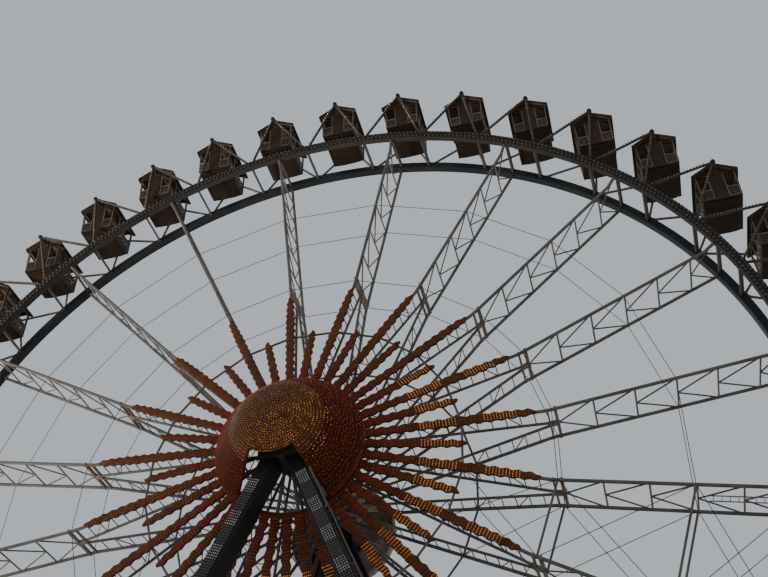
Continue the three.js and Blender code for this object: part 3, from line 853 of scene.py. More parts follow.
def spoke_group(group):
    angles = [spoke_angle(group * PER_GROUP + i) for i in range(PER_GROUP)]
    meshes = []
    for shapes, radius, finish, sides in spoke_bars():
        bars = [[polar(reach, angle, y) for reach, y in bar] for angle in angles for bar in shapes]
        meshes.append(round_bars(bars, radius, finish, sides))
    stock = Stock()
    flange_sector(stock, group)
    bolts = []
    for angle in angles:
        spoke_bracket(stock, angle)
        for side in (-1, 1):
            for y in BRACKET_BOLT_YS:
                bolts.append((beside(BRACKET_OUTER, side * 0.085, angle, y), beside(0, 1, angle)))
    return [*meshes, stock.mesh(), studs(bolts, 0.024, 0.03, "bolt_steel")]


# Ties between the spokes
def tie_meshes():
    thin = []
    thick = []

    def tie(k, r0, y0, end, r1, y1):
        return polar(r0, spoke_angle(k), y0), polar(r1, spoke_angle(end), y1)

    rounds = [(OUTER_TIE_RADIUS, at_radius(chord, OUTER_TIE_RADIUS)) for chord in (FRONT_CHORD, REAR_CHORD)]
    rounds += [(INNER_TIE_RADIUS, y) for y in INNER_TIE_YS]
    for k in range(SPOKES):
        for place in rounds:
            (thick if k in CROSSED_BAYS else thin).append(tie(k, *place, k + 1, *place))
    reaches = (FLAME_TIE[0], INNER_TIE_RADIUS, OUTER_TIE_RADIUS, CROSSING_END)
    for k in CROSSED_BAYS:
        for inner_y, y in CROSSING_YS:
            places = list(zip(reaches, (inner_y, y, y, y)))
            for near, far in zip(places, places[1:]):
                thin.append(tie(k, *near, k + 1, *far))
                thin.append(tie(k + 1, *near, k, *far))
    for place in (FLAME_TIE, REAR_FLAME_TIE):
        thick.extend(tie(k, *place, k + 1, *place) for k in range(SPOKES))
    return [
        round_bars(thin, CABLE_RADIUS, "cable_steel", 5),
        round_bars(thick, TIE_BAR_RADIUS, "taupe_steel"),
    ]


def spoke_ladder():
    """The light climbing ladder inside the truss of the lower right spoke."""
    angle = spoke_angle(LADDER_SPOKE)
    start, end = LADDER_REACH
    rails = [[polar(start, angle, y), polar(end, angle, y)] for y in LADDER_RAILS]
    count = round((end - start) / LADDER_PITCH)
    reaches = [start + (end - start) * (k + 0.5) / count for k in range(count)]
    rungs = [[polar(reach, angle, y) for y in LADDER_RAILS] for reach in reaches]
    return [round_bars(rails, 0.024, "pale_steel", 6), round_bars(rungs, 0.015, "pale_steel", 5)]


# Hub
def hub_meshes():
    """The axle, a drum inside each flange, and the bolts that hold the flanges."""
    profile = (
        (0.0, -AXLE_END), (AXLE_RADIUS - 0.03, -AXLE_END), (AXLE_RADIUS, -AXLE_END + 0.03),
        (AXLE_RADIUS, -2.79), (DRUM_RADIUS - 0.02, -2.79), (DRUM_RADIUS, -2.77), (DRUM_RADIUS, -2.0),
        (AXLE_RADIUS, -1.9), (AXLE_RADIUS, 1.9), (DRUM_RADIUS, 2.0), (DRUM_RADIUS, 2.83),
        (DRUM_RADIUS - 0.02, 2.85), (AXLE_RADIUS, 2.85), (AXLE_RADIUS, AXLE_END - 0.03),
        (AXLE_RADIUS - 0.03, AXLE_END), (0.0, AXLE_END),
    )
    stock = Stock()
    stock.turned(profile, 48, "taupe_steel")
    for y in (-0.9, 0.0, 0.9):
        stock.turned(oblong(AXLE_RADIUS - 0.02, y - 0.05, AXLE_RADIUS + 0.05, y + 0.05), 48, "taupe_steel")
    bolts = []
    for angle in steps_of_turn(2 * SPOKES):
        bolts.append((polar(0.75, angle, -2.0), BACK))
        bolts.append((polar(0.75, angle, 1.97), FORWARD))
    return [stock.mesh(), studs(bolts, 0.03, 0.04, "bolt_steel")]


# Flame rays
def ray_y(radius):
    """The y of the rays' front face."""
    return RAY_FACE_Y + RAY_SLOPE * (radius - RAY_FACE_REACH)


def ray_half(radius, tip):
    """Half the width of a ray, rounded off bluntly at its tip."""
    left = max(tip - radius, 0.0)
    body = 0.19 - 0.02 * sin(pi * min((radius - RAY_ROOT) / 3.6, 1.0))
    taper = 1.0 - 0.3 * max(0.0, 1.0 - left / 1.8)
    return max(body * taper * min(1.0, left / 0.34) ** 0.5, 0.004)


def snake(radius, phase):
    """How far both edges of a ray swing to one side."""
    return WAVE_SIZE * sin(2 * pi * radius / WAVE + phase)


def ray_panel(stock, angle, tip, phase):
    steps = round((tip - RAY_ROOT) / RAY_STEP)
    rings = []
    for k in range(steps + 1):
        radius = RAY_ROOT + (tip - RAY_ROOT) * k / steps
        half = ray_half(radius, tip)
        edge = min(0.015, half * 0.4)
        section = ((edge - half, 0), (half - edge, 0), (half, edge), (half, RAY_THICKNESS))
        section += ((-half, RAY_THICKNESS), (-half, edge))
        side = snake(radius, phase)
        rings.append([beside(radius, side + u, angle, ray_y(radius) + v) for u, v in section])
    stock.loft(rings, "flame_red")


def ray_lamps(angle, tip, phase, rows):
    """Rows of bulbs across a ray, gathered by finish: red at its root, then bands that are lit or not."""
    glowing = cos(angle - LIT_WAY) > LIT_LEAST
    for row, radius in enumerate(spaced(RAY_ROOT + 0.1, tip - 0.3, RAY_ROW_PITCH)):
        half = ray_half(radius, tip)
        count = 5 if half > 0.155 else 4 if half > 0.12 else 3
        if radius < RED_REACH:
            finish = "bulb_red" if row % 2 else "bulb_rose"
        elif glowing:
            finish = "bulb_amber" if any(low < radius < high for low, high in LIT_BANDS) else "bulb_dim"
        else:
            finish = "bulb_dim" if row % 2 else "bulb_tan"
        for k in range(count):
            across = (k - (count - 1) / 2) * RAY_LAMP_PITCH + snake(radius, phase)
            rows[finish].append(beside(radius, across, angle, ray_y(radius) - 0.008))


def flame_meshes(tip, offset):
    """The rays of one length, as a mesh of panels and the meshes of their bulbs."""
    stock = Stock()
    rows = {finish: [] for finish in ("bulb_red", "bulb_rose", "bulb_dim", "bulb_tan", "bulb_amber")}
    for k in range(SPOKES):
        angle = spoke_angle(k + offset)
        ray_panel(stock, angle, tip, 1.9 * k)
        ray_lamps(angle, tip, 1.9 * k, rows)
    return stock.mesh(), [bulbs(points, RAY_LAMP_RADIUS, finish) for finish, points in rows.items()]


def flame_ring():
    """The flat ring that the rays grow from, and the pale tube behind its inner edge."""
    stock = Stock()
    front = ray_y(RAY_ROOT) - 0.004
    back = front + RAY_THICKNESS
    profile = ((FLAME_RING_INNER + 0.02, front), (FLAME_RING_OUTER - 0.02, front))
    profile += ((FLAME_RING_OUTER, front + 0.02), (FLAME_RING_OUTER, back))
    profile += ((FLAME_RING_INNER, back), (FLAME_RING_INNER, front + 0.02))
    stock.turned(profile, 80, "flame_red")
    middle = FLAME_RING_INNER - 0.05
    tube = [(middle + 0.04 * cos(a), front + 0.1 + 0.04 * sin(a)) for a in steps_of_turn(8)]
    stock.turned(tube, 80, "pale_steel")
    return stock.mesh()


# Domes
def opening_outline():
    """The opening below the sun dome's cap, as points (x, z)."""
    steps = 10
    outline = [(OPENING_LEFT, OPENING_BOTTOM), (OPENING_RIGHT, OPENING_BOTTOM)]
    for k in range(steps + 1):
        span = 180 - OPENING_LEFT_ANGLE - OPENING_RIGHT_ANGLE
        angle = -radians(OPENING_RIGHT_ANGLE + span * k / steps)
        outline.append((OPENING_CAP_RADIUS * cos(angle), OPENING_CAP_RADIUS * sin(angle)))
    return outline


def in_opening(x, z, margin=0.06):
    """Whether a place on the dome lies in its opening or too near its edge."""
    if z > 0 or hypot(x, z) < OPENING_CAP_RADIUS + margin:
        return False
    side, turn = (OPENING_LEFT, OPENING_LEFT_ANGLE) if x < 0 else (OPENING_RIGHT, OPENING_RIGHT_ANGLE)
    cap_x = OPENING_CAP_RADIUS * cos(radians(turn))
    cap_z = -OPENING_CAP_RADIUS * sin(radians(turn))
    share = (cap_z - z) / (cap_z - OPENING_BOTTOM)
    return share > -0.05 and abs(x) < cap_x + (abs(side) - cap_x) * share + margin


def dome_y(radius):
    """The y of the dome's outside at a distance from the axis."""
    return at_radius(DOME_PROFILE[:-2], min(radius, DOME_PROFILE[-3][0]))


def opened(mesh):
    """Cuts the opening for the legs out of a dome."""
    cutter_stock = Stock()
    cutter_stock.plate(opening_outline(), -5.6, 3.2, "stand_black")
    cutter = added("cutter", cutter_stock.mesh())
    dome = added("dome", mesh)
    modifier = dome.modifiers.new("opening", "BOOLEAN")
    modifier.operation = "DIFFERENCE"
    modifier.solver = "EXACT"
    modifier.object = cutter
    result = mesh_after(dome, modifier)
    bpy.data.objects.remove(cutter)
    return result


def shell_profile(outside):
    """The closed profile of a thin skin, given its outside from the tip to the rim."""
    way = 1 if outside[0][1] < 0 else -1
    inside = [(max(r - DOME_SKIN, 0.0), y + way * DOME_SKIN) for r, y in outside][::-1]
    return list(outside) + inside


def sun_dome_skin():
    """The dome: gold in the middle, red outside it, with a thin rolled rim."""
    skin = Stock()
    gold_edges = sum(1 for radius, _ in DOME_PROFILE if radius <= GOLD_RADIUS) - 1
    profile = shell_profile(DOME_PROFILE)
    skin.turned(profile, 120, lambda edge: "dome_gold" if edge < gold_edges else "dome_red")
    radius, y = DOME_RIM
    size = DOME_RIM_RADIUS
    rim = Stock()
    rim.turned([(radius + size * cos(a), y + size * sin(a)) for a in steps_of_turn(10)], 120, "rim_red")
    return [opened(skin.mesh()), opened(rim.mesh())]


def scatter(k, row):
    """A number from 0 to 1 that differs from lamp to lamp without any order."""
    value = sin(k * 12.9898 + row * 78.233) * 43758.5453
    return value - int(value // 1)


def dome_lamps():
    """Rings of small bulbs on the dome, with loose clusters that glow on its lower right part."""
    sizes = {"bulb_frost": 0.027, "bulb_gold": 0.03, "bulb_dim": 0.027, "bulb_red": 0.03, "bulb_rose": 0.03}
    groups = {finish: [] for finish in sizes}
    radius = 0.06
    row = 0
    while radius < DOME_RIM[0]:
        gold = radius < GOLD_RADIUS
        pitch = GOLD_LAMP_PITCH if gold else RED_LAMP_PITCH
        count = max(6, round(2 * pi * radius / pitch))
        for k in range(count):
            chance = scatter(k, row)
            loose = (0.35 if gold else 0.7) * (chance - 0.5)
            angle = 2 * pi * (k + 0.5 * (row % 2) + loose) / count
            reach = radius + (0.03 if gold else 0.06) * (scatter(row, k) - 0.5)
            x = reach * cos(angle)
            z = reach * sin(angle)
            if in_opening(x, z):
                continue
            cluster = noise.noise(Vector((2.4 * x, 3.0, 2.4 * z))) + 1.1 * (chance - 0.5)
            lower = x * 0.7 - z
            lit = cluster > 0.12 - 0.1 * min(lower, 1.5) and lower > -0.3
            if gold:
                group = "gold" if lit else "dim" if lower > 0.3 and chance > 0.4 else "frost"
            elif reach < GOLD_RADIUS + 0.25 and lit and lower > 0.6:
                group = "gold"
            elif lower > 2.2 and chance > 0.4:
                group = "dim"
            else:
                group = "rose" if chance > 0.62 - 0.13 * x else "red"
            groups["bulb_" + group].append(Vector((x, dome_y(reach) - 0.006, z)))
        radius += pitch
        row += 1
    radius, y = DOME_RIM
    count = round(2 * pi * radius / RIM_LAMP_PITCH)
    for row in range(SKIRT_ROWS):
        for k in range(count):
            angle = 2 * pi * (k + 0.5 * (row % 2)) / count
            at = polar(radius + 0.004, angle, y + SKIRT_PITCH * (row + 0.5))
            if not in_opening(at.x, at.z):
                groups["bulb_rose" if scatter(k, row) > 0.7 else "bulb_red"].append(at)
    return [bulbs(points, sizes[finish], finish) for finish, points in groups.items()]


def dome_stays():
    """Flat bars from the front head out to the inside of the sun dome."""
    stock = Stock()
    for k in range(7):
        start, end = (polar(radius, radians(30 * k), y) for radius, y in ((0.7, -3.5), (2.72, -3.42)))
        stock.beam(start, end, 0.07, 0.12, "head_brown_black", BACK, 0.01)
    return stock.mesh()


def cover_skin():
    """The plain cover behind the hub, with pressed ribs outside and rows of studs inside."""
    stock = Stock()
    stock.turned(shell_profile(COVER_PROFILE), 96, "cover_grey")
    rib = ((0.0, -0.025, -0.03), (0.0, 0.025, -0.03), (0.008, 0.016, 0.018), (0.008, -0.016, 0.018))
    line = COVER_PROFILE[1:-1]
    for a in steps_of_turn(COVER_RIBS, pi / COVER_RIBS):
        stock.loft([[beside(r + u, side, a, y + v) for u, side, v in rib] for r, y in line], "cover_grey")
    spots = []
    inside = [(r - DOME_SKIN, y - DOME_SKIN) for r, y in COVER_PROFILE[1:]]
    for (r0, y0), (r1, y1) in zip(inside, inside[1:]):
        rows = max(1, round(hypot(r1 - r0, y1 - y0) / STUD_ROW_PITCH))
        slope = Vector((y1 - y0, r0 - r1)).normalized()
        for row in range(rows):
            share = (row + 0.5) / rows
            radius = r0 + (r1 - r0) * share
            count = round(2 * pi * radius / STUD_PITCH)
            for k in range(count):
                angle = 2 * pi * (k + 0.5 * (row % 2)) / count
                spots.append((polar(radius, angle, y0 + (y1 - y0) * share), polar(slope.x, angle, slope.y)))
    return [stock.mesh(), studs(spots, 0.03, 0.04, "stud_grey", 5)]


# Stand
def leg_centre(side_x, side_y, drop):
    x = side_x * LEG_SPREAD_X * drop
    return Vector((x, side_y * (LEG_TOP_Y + LEG_SPREAD_Y * drop), -drop))


def leg_meshes(side_x, side_y):
    """One box-section leg with bolted flange joints, stiffeners at its foot and a sole plate."""
    stock = Stock()
    section = cut_corners(LEG_HALF_WIDTH, LEG_HALF_DEPTH, 0.04)
    collar = cut_corners(LEG_HALF_WIDTH + 0.09, LEG_HALF_DEPTH + 0.09, 0.03)

    def level(drop, places):
        middle = leg_centre(side_x, side_y, drop)
        return [middle + Vector((u, v, 0)) for u, v in places]

    def length(start, end, outline):
        stock.loft([level(start, outline), level(end, outline)], "stand_black")

    for start, end in zip(LEG_JOINTS, LEG_JOINTS[1:]):
        length(start, end, section)
    around = [(u, v * (LEG_HALF_DEPTH + 0.045)) for u in (-0.3, -0.1, 0.1, 0.3) for v in (-1, 1)]
    around += [(u * (LEG_HALF_WIDTH + 0.045), v) for v in (-0.3, 0.0, 0.3) for u in (-1, 1)]
    bolts = []
    for drop in LEG_JOINTS[1:-1]:
        length(drop - 0.055, drop - 0.008, collar)
        length(drop + 0.008, drop + 0.055, collar)
        for place in around:
            bolts += level(drop - 0.075, [place]) + level(drop + 0.075, [place])
    foot = leg_centre(side_x, side_y, LEG_FOOT_DROP)
    stock.box(foot + Vector((-0.65, -0.745, 0.01)), foot + Vector((0.65, 0.745, 0.1)), "stand_black")
    rise = leg_centre(side_x, side_y, LEG_FOOT_DROP - 0.8) - foot - 0.1 * UP
    for u in (-1, 1):
        for v in (-0.35, 0.35):
            at = foot + Vector((u * LEG_HALF_WIDTH, v, 0.1))
            outline = (at, at + Vector((u * 0.28, 0, 0)), at + rise + Vector((u * 0.02, 0, 0)), at + rise)
            stock.prism(outline, 0.04 * BACK, "stand_black")
    bolts += [foot + Vector((u, v, 0.12)) for u in (-0.55, 0.55) for v in (-0.65, -0.25, 0.25, 0.65)]
    return [stock.mesh(), studs([(bolt, UP) for bolt in bolts], 0.04, 0.06, "bolt_steel")]


def head_meshes(way):
    """The bearing block on top of two legs, with its bolts; way is -1 at the front and 1 at the rear."""
    boss_end = 4.94 if way < 0 else COVER_PROFILE[1][1] - DOME_SKIN - 0.02
    stock = Stock()
    outline = ((-0.88, -1.2), (0.88, -1.2), (0.84, -0.6), (0.7, 0.8), (-0.7, 0.8), (-0.84, -0.6))
    block = way * (HEAD_FAR - HEAD_NEAR - 0.1)
    stock.plate(outline, way * (HEAD_NEAR + 0.05), block, "head_brown_black")
    for y in (HEAD_NEAR, HEAD_FAR - 0.06):
        stock.plate([(x * 1.04, z * 1.02) for x, z in outline], way * y, way * 0.06, "head_brown_black")
    root = HEAD_FAR - 0.05
    boss = ((0.0, boss_end), (0.56, boss_end), (0.6, boss_end - 0.04), (0.6, root), (0.0, root))
    collar = ((0.52, -0.08), (0.66, -0.08), (0.68, -0.05), (0.68, 0.02), (0.52, 0.02))
    stock.turned([(radius, way * y) for radius, y in boss], 32, "head_brown_black")
    stock.turned([(radius, way * (HEAD_NEAR + y)) for radius, y in collar], 40, "rust_steel")
    bolts = [polar(0.61, angle, way * (HEAD_NEAR - 0.09)) for angle in steps_of_turn(16)]
    for x, z in ((-0.74, -1.0), (-0.3, -1.0), (0.3, -1.0), (0.74, -1.0), (-0.62, 0.6), (0.62, 0.6)):
        bolts += [Vector((x, way * y, z)) for y in (HEAD_FAR, HEAD_NEAR)]
    return [stock.mesh(), studs([(bolt, BACK) for bolt in bolts], 0.035, 0.06, "bolt_steel")]


def leg_lamps(side):
    """The lamp boards on the face of a front leg, with lit modules and dark ones between them."""
    across = Vector((1, 0, side * LEG_SPREAD_X)).normalized()

    def on_face(drop, sideways, proud):
        offset = Vector((side * STRIP_OFFSET, -LEG_HALF_DEPTH - proud, 0))
        return leg_centre(side, -1, drop) + offset + across * sideways

    stock = Stock()
    lit = []
    dark = []
    columns = [(column - (DIODE_COLUMNS - 1) / 2) * DIODE_PITCH for column in range(DIODE_COLUMNS)]
    modules = ((0, LIT_LENGTH, LIT_ROWS, lit), (LIT_LENGTH, MODULE_PITCH - LIT_LENGTH, DARK_ROWS, dark))
    for top in spaced(STRIP_START, STRIP_END, MODULE_PITCH):
        for gap, length, rows, diodes in modules:
            start = top + gap
            end = start + length - 0.012
            corners = [(drop, u * STRIP_HALF) for drop, u in ((start, -1), (start, 1), (end, 1), (end, -1))]
            rings = [[on_face(*place, proud) for place in corners] for proud in (-0.01, 0.045)]
            stock.loft(rings, "lamp_board")
            for row in range(rows):
                diodes += [on_face(start + length * (row + 0.5) / rows, u, 0.05) for u in columns]
    return [stock.mesh(), bulbs(lit, 0.026, "bulb_white"), bulbs(dark, 0.025, "unlit_diode")]


def leg_ladder():
    """The climbing rails, rungs and cable tray on the right-hand side of the right front leg."""

    def beside_leg(drop, out, depth):
        return leg_centre(1, -1, drop) + Vector((LEG_HALF_WIDTH + out, depth, 0))

    rails = [[beside_leg(drop, RAIL_OUT, depth) for drop in RAIL_ENDS] for depth in RAIL_DEPTHS]
    grip = ((1.75, 0.02), (1.9, 0.1), (3.85, 0.1), (4.0, 0.02))
    handrail = [beside_leg(drop, out, RAIL_DEPTHS[0]) for drop, out in grip]
    top, bottom = RAIL_ENDS
    drops = spaced(top + 0.1, bottom - 0.1, LADDER_PITCH)
    rungs = [[beside_leg(drop, RAIL_OUT, depth) for depth in RAIL_DEPTHS] for drop in drops]
    stays = []
    for drop in spaced(top + 0.6, bottom - 0.1, RAIL_STAY_PITCH):
        stays += [[beside_leg(drop, out, depth) for out in (0.0, RAIL_OUT)] for depth in RAIL_DEPTHS]
    section = ((0.0, 0.12), (0.09, 0.12), (0.09, 0.15), (0.03, 0.15), (0.03, 0.36), (0.09, 0.36))
    section += ((0.09, 0.39), (0.0, 0.39))
    tray = Stock()
    tray.loft([[beside_leg(drop, *place) for place in section] for drop in TRAY_ENDS], "stand_black")
    cables = [[beside_leg(drop, 0.055, depth) for drop in TRAY_ENDS] for depth in CABLE_DEPTHS]
    lamps = [beside_leg(drop, 0.02, -0.26) for drop in spaced(4.7, 12.0, SIDE_LAMP_PITCH)]
    return [
        round_bars(rails, 0.022, "taupe_steel", 6),
        round_bars([handrail], 0.04, "pale_steel"),
        round_bars(rungs, 0.014, "taupe_steel", 5),
        round_bars(stays, 0.016, "taupe_steel", 5),
        tray.mesh(),
        round_bars(cables, 0.02, "knob_black", 6),
        bulbs(lamps, 0.03, "bulb_dim"),
    ]


def i_beam(stock, start, end, across):
    """A steel I-beam with stiffeners that lies between two points on the ground."""
    start = Vector(start)
    end = Vector(end)
    across = Vector(across)
    half = BEAM_HALF - 0.03
    flange = 0.06
    web = 0.035
    height = BEAM_HEIGHT - 0.012
    right = [(half, 0.0), (half, flange), (web, flange)]
    right += [(u, height - v) for u, v in right[::-1]]
    outline = right + [(-u, v) for u, v in right[::-1]]
    outline = outline[-1:] + outline[:-1]
    stock.loft([[at + across * u + UP * v for u, v in outline] for at in (start, end)], "base_dark_grey")
    length = (end - start).length
    count = max(2, round(length / 1.3))
    run = (end - start).normalized()
    for k in range(count + 1):
        at = start + run * (0.03 + (length - 0.1) * k / count)
        for side in (-1, 1):
            corners = oblong(side * web, flange, side * (half - 0.05), height - flange)
            stock.prism([at + across * u + UP * v for u, v in corners], run * 0.04, "base_dark_grey")


def base_meshes():
    """Two long beams and three cross beams, bolted together at plates."""
    stock = Stock()
    x, y, _ = leg_centre(1, 1, LEG_FOOT_DROP)
    reach = x + BEAM_OVERHANG
    bolts = []
    for side in (-1, 1):
        i_beam(stock, (-reach, side * y, GROUND), (reach, side * y, GROUND), BACK)
    for at in (-x, 0, x):
        low = -y + BEAM_HALF - 0.02
        i_beam(stock, (at, low, GROUND), (at, -low, GROUND), (1, 0, 0))
        for side in (-1, 1):
            edge = side * (y - BEAM_HALF)
            near, far = sorted((edge, edge - side * 0.05))
            stock.box((at - 0.38, near, GROUND + 0.07), (at + 0.38, far, GROUND + 0.52), "base_dark_grey")
            for u in (-0.28, -0.12, 0.12, 0.28):
                for v in (0.16, 0.3, 0.43):
                    bolts.append((Vector((at + u, edge - side * 0.07, GROUND + v)), BACK))
    return [stock.mesh(), studs(bolts, 0.035, 0.06, "bolt_steel")]


# Cabins
def wall_half(z):
    share = (WALL_TOP - z) / (WALL_TOP - WALL_BOTTOM)
    return HALF_WIDTH_TOP + (HALF_WIDTH_BOTTOM - HALF_WIDTH_TOP) * share


def under_roof(x):
    return ROOF_UNDERSIDE - ROOF_SLOPE * abs(x)


def end_wall(stock, face):
    """One end of a cabin: door and gable boards, window frames and painted panels below them."""
    outside = CABIN_Y + face * WALL_HALF_DEPTH

    def board(x0, x1, bottom):
        top = [(x1 - BOARD_GAP, under_roof(x1)), (x0 + BOARD_GAP, under_roof(x0))]
        if x0 < 0 < x1:
            top.insert(1, (0, under_roof(0)))
        outline = [(x0 + BOARD_GAP, bottom), (x1 - BOARD_GAP, bottom), *top]
        stock.plate(outline, outside, -face * 0.04, "wall_brown")

    def slat(x0, z0, x1, z1, width, finish, proud):
        y = outside + face * (proud - 0.03)
        stock.beam((x0, y, z0), (x1, y, z1), width, 0.06, finish)

    for k in range(5):
        board(-DOOR_HALF + DOOR_BOARD * k, -DOOR_HALF + DOOR_BOARD * (k + 1), -1.8)
    for side in (-1, 1):
        for k in range(4):
            x0 = DOOR_HALF + GABLE_BOARD * k
            board(*sorted((side * x0, side * min(x0 + GABLE_BOARD, 0.875))), GABLE_BOTTOM)
    for side in (-1, 1):
        slat(side * 0.34, -1.73, side * 0.34, -0.22, 0.04, "frame_pale", 0.016)
        slat(side * 0.818, -1.73, side * 0.865, -0.22, 0.04, "frame_pale", 0.014)
        slat(side * 0.345, -0.25, side * 0.86, -0.25, 0.03, "trim_brown", 0.012)
        for z, width in ((SILL, 0.05), (-1.72, 0.035)):
            slat(side * 0.33, z, side * 0.835, z, width, "frame_pale", 0.012)
        panel = ((side * 0.35, -1.79), (side * 0.82, -1.79), (side * 0.845, -1.17), (side * 0.35, -1.17))
        stock.plate(panel, outside - face * 0.01, -face * 0.03, "panel_lilac")
        # These scrolls take the pale ornament darkened as painted shade
        for way in (-1, 1):
            middle = Vector((side * 0.59, outside - face * 0.004, -1.6))
            scroll(stock, middle, Vector((way, 0, 0)), Vector((0, face, 0)), 0.13, "motif_dim")
        slat(side * 0.905, -0.2, side * 0.845, -1.84, 0.06, "trim_brown", 0.012)
    slat(-0.86, -1.815, 0.86, -1.815, 0.07, "wall_brown", 0.014)
    slat(-0.3, -0.9, 0.3, -0.9, 0.03, "wall_brown", 0.01)
    slat(0.22, -1.28, 0.22, -1.12, 0.02, "bolt_steel", 0.035)


def scroll(stock, middle, across, out, size, finish):
    """A curling ribbon ornament, raised on a panel; across gives the side it curls to."""
    turns = 11
    centre = middle + across * size * 0.56 + UP * size * 0.1
    rings = []
    for k in range(turns):
        share = k / (turns - 1)
        angle = -pi / 2 + share * 1.55 * pi
        outward = across * cos(angle) * -1 + UP * sin(angle)
        at = centre + outward * size * (0.62 - 0.42 * share)
        half = outward * size * (0.045 + 0.05 * sin(pi * share))
        rings.append([at - half, at + half, at + half + out * 0.014, at - half + out * 0.014])
    stock.loft(rings, finish)


def side_wall(stock, side):
    """One long side of a cabin: open windows between posts over a boarded panel."""
    depth = WALL_HALF_DEPTH - 0.06

    def upright(y0, y1, bottom, top, inset, thick, finish):
        corners = oblong(y0, bottom, y1, top)
        outline = [(side * (wall_half(z) - inset), CABIN_Y + y, z) for y, z in corners]
        stock.prism(outline, (-side * thick, 0, 0), finish)

    boards = 9
    for k in range(boards):
        y0 = -depth + 2 * depth * k / boards
        upright(y0 + 0.004, y0 + 2 * depth / boards - 0.004, -1.8, SILL, 0.014, 0.035, "panel_lilac")
    for y in (-1.03, -0.35, 0.35, 1.03):
        upright(y - 0.022, y + 0.022, -1.82, -0.3, 0.0, 0.06, "frame_pale")
    for low, high, inset, thick, finish in (
        (-1.82, -1.78, 0.004, 0.055, "frame_pale"),
        (-1.18, -1.13, 0.004, 0.055, "frame_pale"),
        (-0.34, -0.3, 0.004, 0.055, "frame_pale"),
        (-0.3, -0.2, 0.0, 0.05, "wall_brown"),
        (-1.88, -1.82, -0.01, 0.07, "trim_brown"),
    ):
        upright(-depth, depth, low, high, inset, thick, finish)
    for face in (-1, 1):
        y = face * (WALL_HALF_DEPTH - 0.04)
        upright(y - 0.025, y + 0.025, -1.84, -0.2, -0.006, 0.08, "trim_brown")
    for y in (-0.69, 0.0, 0.69):
        for way in (-1, 1):
            middle = Vector((side * (wall_half(-1.5) - 0.012), CABIN_Y + y, -1.5))
            scroll(stock, middle, Vector((0, way, 0)), Vector((side, 0, 0)), 0.32, "motif_pale")


def cabin_floor(stock):
    """Floor planks that round the cabin's bottom edge, on cross bearers."""
    half = HALF_WIDTH_BOTTOM - 0.03
    depth = WALL_HALF_DEPTH - 0.04
    planks = 9

    def bottom(x):
        return -1.865 - 0.1 * (1 - (x / half) ** 4)

    for k in range(planks):
        x0 = -half + 2 * half * k / planks + 0.0015
        x1 = -half + 2 * half * (k + 1) / planks - 0.0015
        outline = ((x0, bottom(x0)), (x1, bottom(x1)), (x1, bottom(x1) + 0.04), (x0, bottom(x0) + 0.04))
        stock.plate(outline, CABIN_Y - depth, 2 * depth, "under_brown")
    stock.box((-half, CABIN_Y - depth, FLOOR_TOP - 0.04), (half, CABIN_Y + depth, FLOOR_TOP), "under_brown")
    for y in (-0.98, -0.33, 0.33, 0.98):
        outline = [(half * u / 4, bottom(half * u / 4) + 0.02) for u in range(-4, 5)]
        outline += [(half, -1.84), (-half, -1.84)]
        stock.plate(outline, CABIN_Y + y - 0.04, 0.08, "under_brown")


def cabin_roof(stock):
    """Lapped roof boards on rafters, barge boards, a ridge roll and its end knobs."""
    laps = 5
    front = CABIN_Y - ROOF_HALF_DEPTH
    rear = CABIN_Y + ROOF_HALF_DEPTH

    def top(x):
        return ROOF_RIDGE - 0.02 - ROOF_SLOPE * abs(x)

    def slope_board(outline, inset, finish):
        stock.plate(outline, front + inset, 2 * ROOF_HALF_DEPTH - 2 * inset, finish)

    for side in (-1, 1):
        for k in range(laps):
            x0, x1 = (side * ROOF_HALF_WIDTH * n / laps for n in (k, k + 1))
            low = [(x, under_roof(x) + 0.005) for x in (x0, x1)]
            slope_board([*low, (x1, top(x1) + 0.012), (x0, top(x0) - 0.014)], 0.02, "roof_brown")
        inner, outer = ((side * x, under_roof(x)) for x in (0.02, 1.02))
        rises = ((inner, -0.006), (outer, -0.006), (outer, 0.008), (inner, 0.008))
        slope_board([(x, z + rise) for (x, z), rise in rises], 0.03, "lining_ochre")
        for y in (-0.84, -0.28, 0.28, 0.84):
            start, end = ((side * x, CABIN_Y + y, under_roof(x) - 0.02) for x in (0.05, 1.0))
            stock.beam(start, end, 0.05, 0.06, "lining_ochre")
        for y in (front, rear):
            start, end = ((side * x, y, under_roof(x) + 0.02) for x in (0.0, 1.03))
            stock.beam(start, end, 0.11, 0.045, "trim_brown")
            knob(stock, Vector((side * 1.01, y, under_roof(1.045) + 0.02)), 0.045)
        eave = under_roof(1.03)
        near, far = (side * 1.03 - 0.02, side * 1.03 + 0.02)
        stock.box((near, front, eave - 0.04), (far, rear, eave + 0.07), "trim_brown")
    ridge = [(0.05 * cos(a), 0.355 + 0.05 * sin(a)) for a in steps_of_turn(8)]
    slope_board(ridge, -0.02, "knob_black")
    for y in (front - 0.02, rear + 0.02):
        knob(stock, Vector((0, y, 0.345)), 0.07)


def knob(stock, middle, radius):
    """A turned wooden knob, its axis along y."""
    profile = ((0.0, -1.0), (0.7, -0.7), (1.0, 0.0), (0.7, 0.7), (0.0, 1.0))
    stock.turned([(radius * r, radius * y) for r, y in profile], 8, "knob_black", middle)


def cabin_seats(stock):
    """Two benches that face each other, with slatted backs."""

    def block(xs, y0, y1, z0, z1):
        low, high = sorted(side * x for x in xs)
        stock.box((low, CABIN_Y + y0, z0), (high, CABIN_Y + y1, z1), "seat_brown")

    for side in (-1, 1):
        block((0.42, 0.8), -1.0, 1.0, SEAT_TOP - 0.05, SEAT_TOP)
        for y in (-0.9, 0.0, 0.9):
            block((0.45, 0.77), y - 0.03, y + 0.03, FLOOR_TOP, SEAT_TOP - 0.05)
        for z in (-1.3, -1.18, -1.06):
            block((0.8, 0.84), -1.0, 1.0, z, z + 0.08)


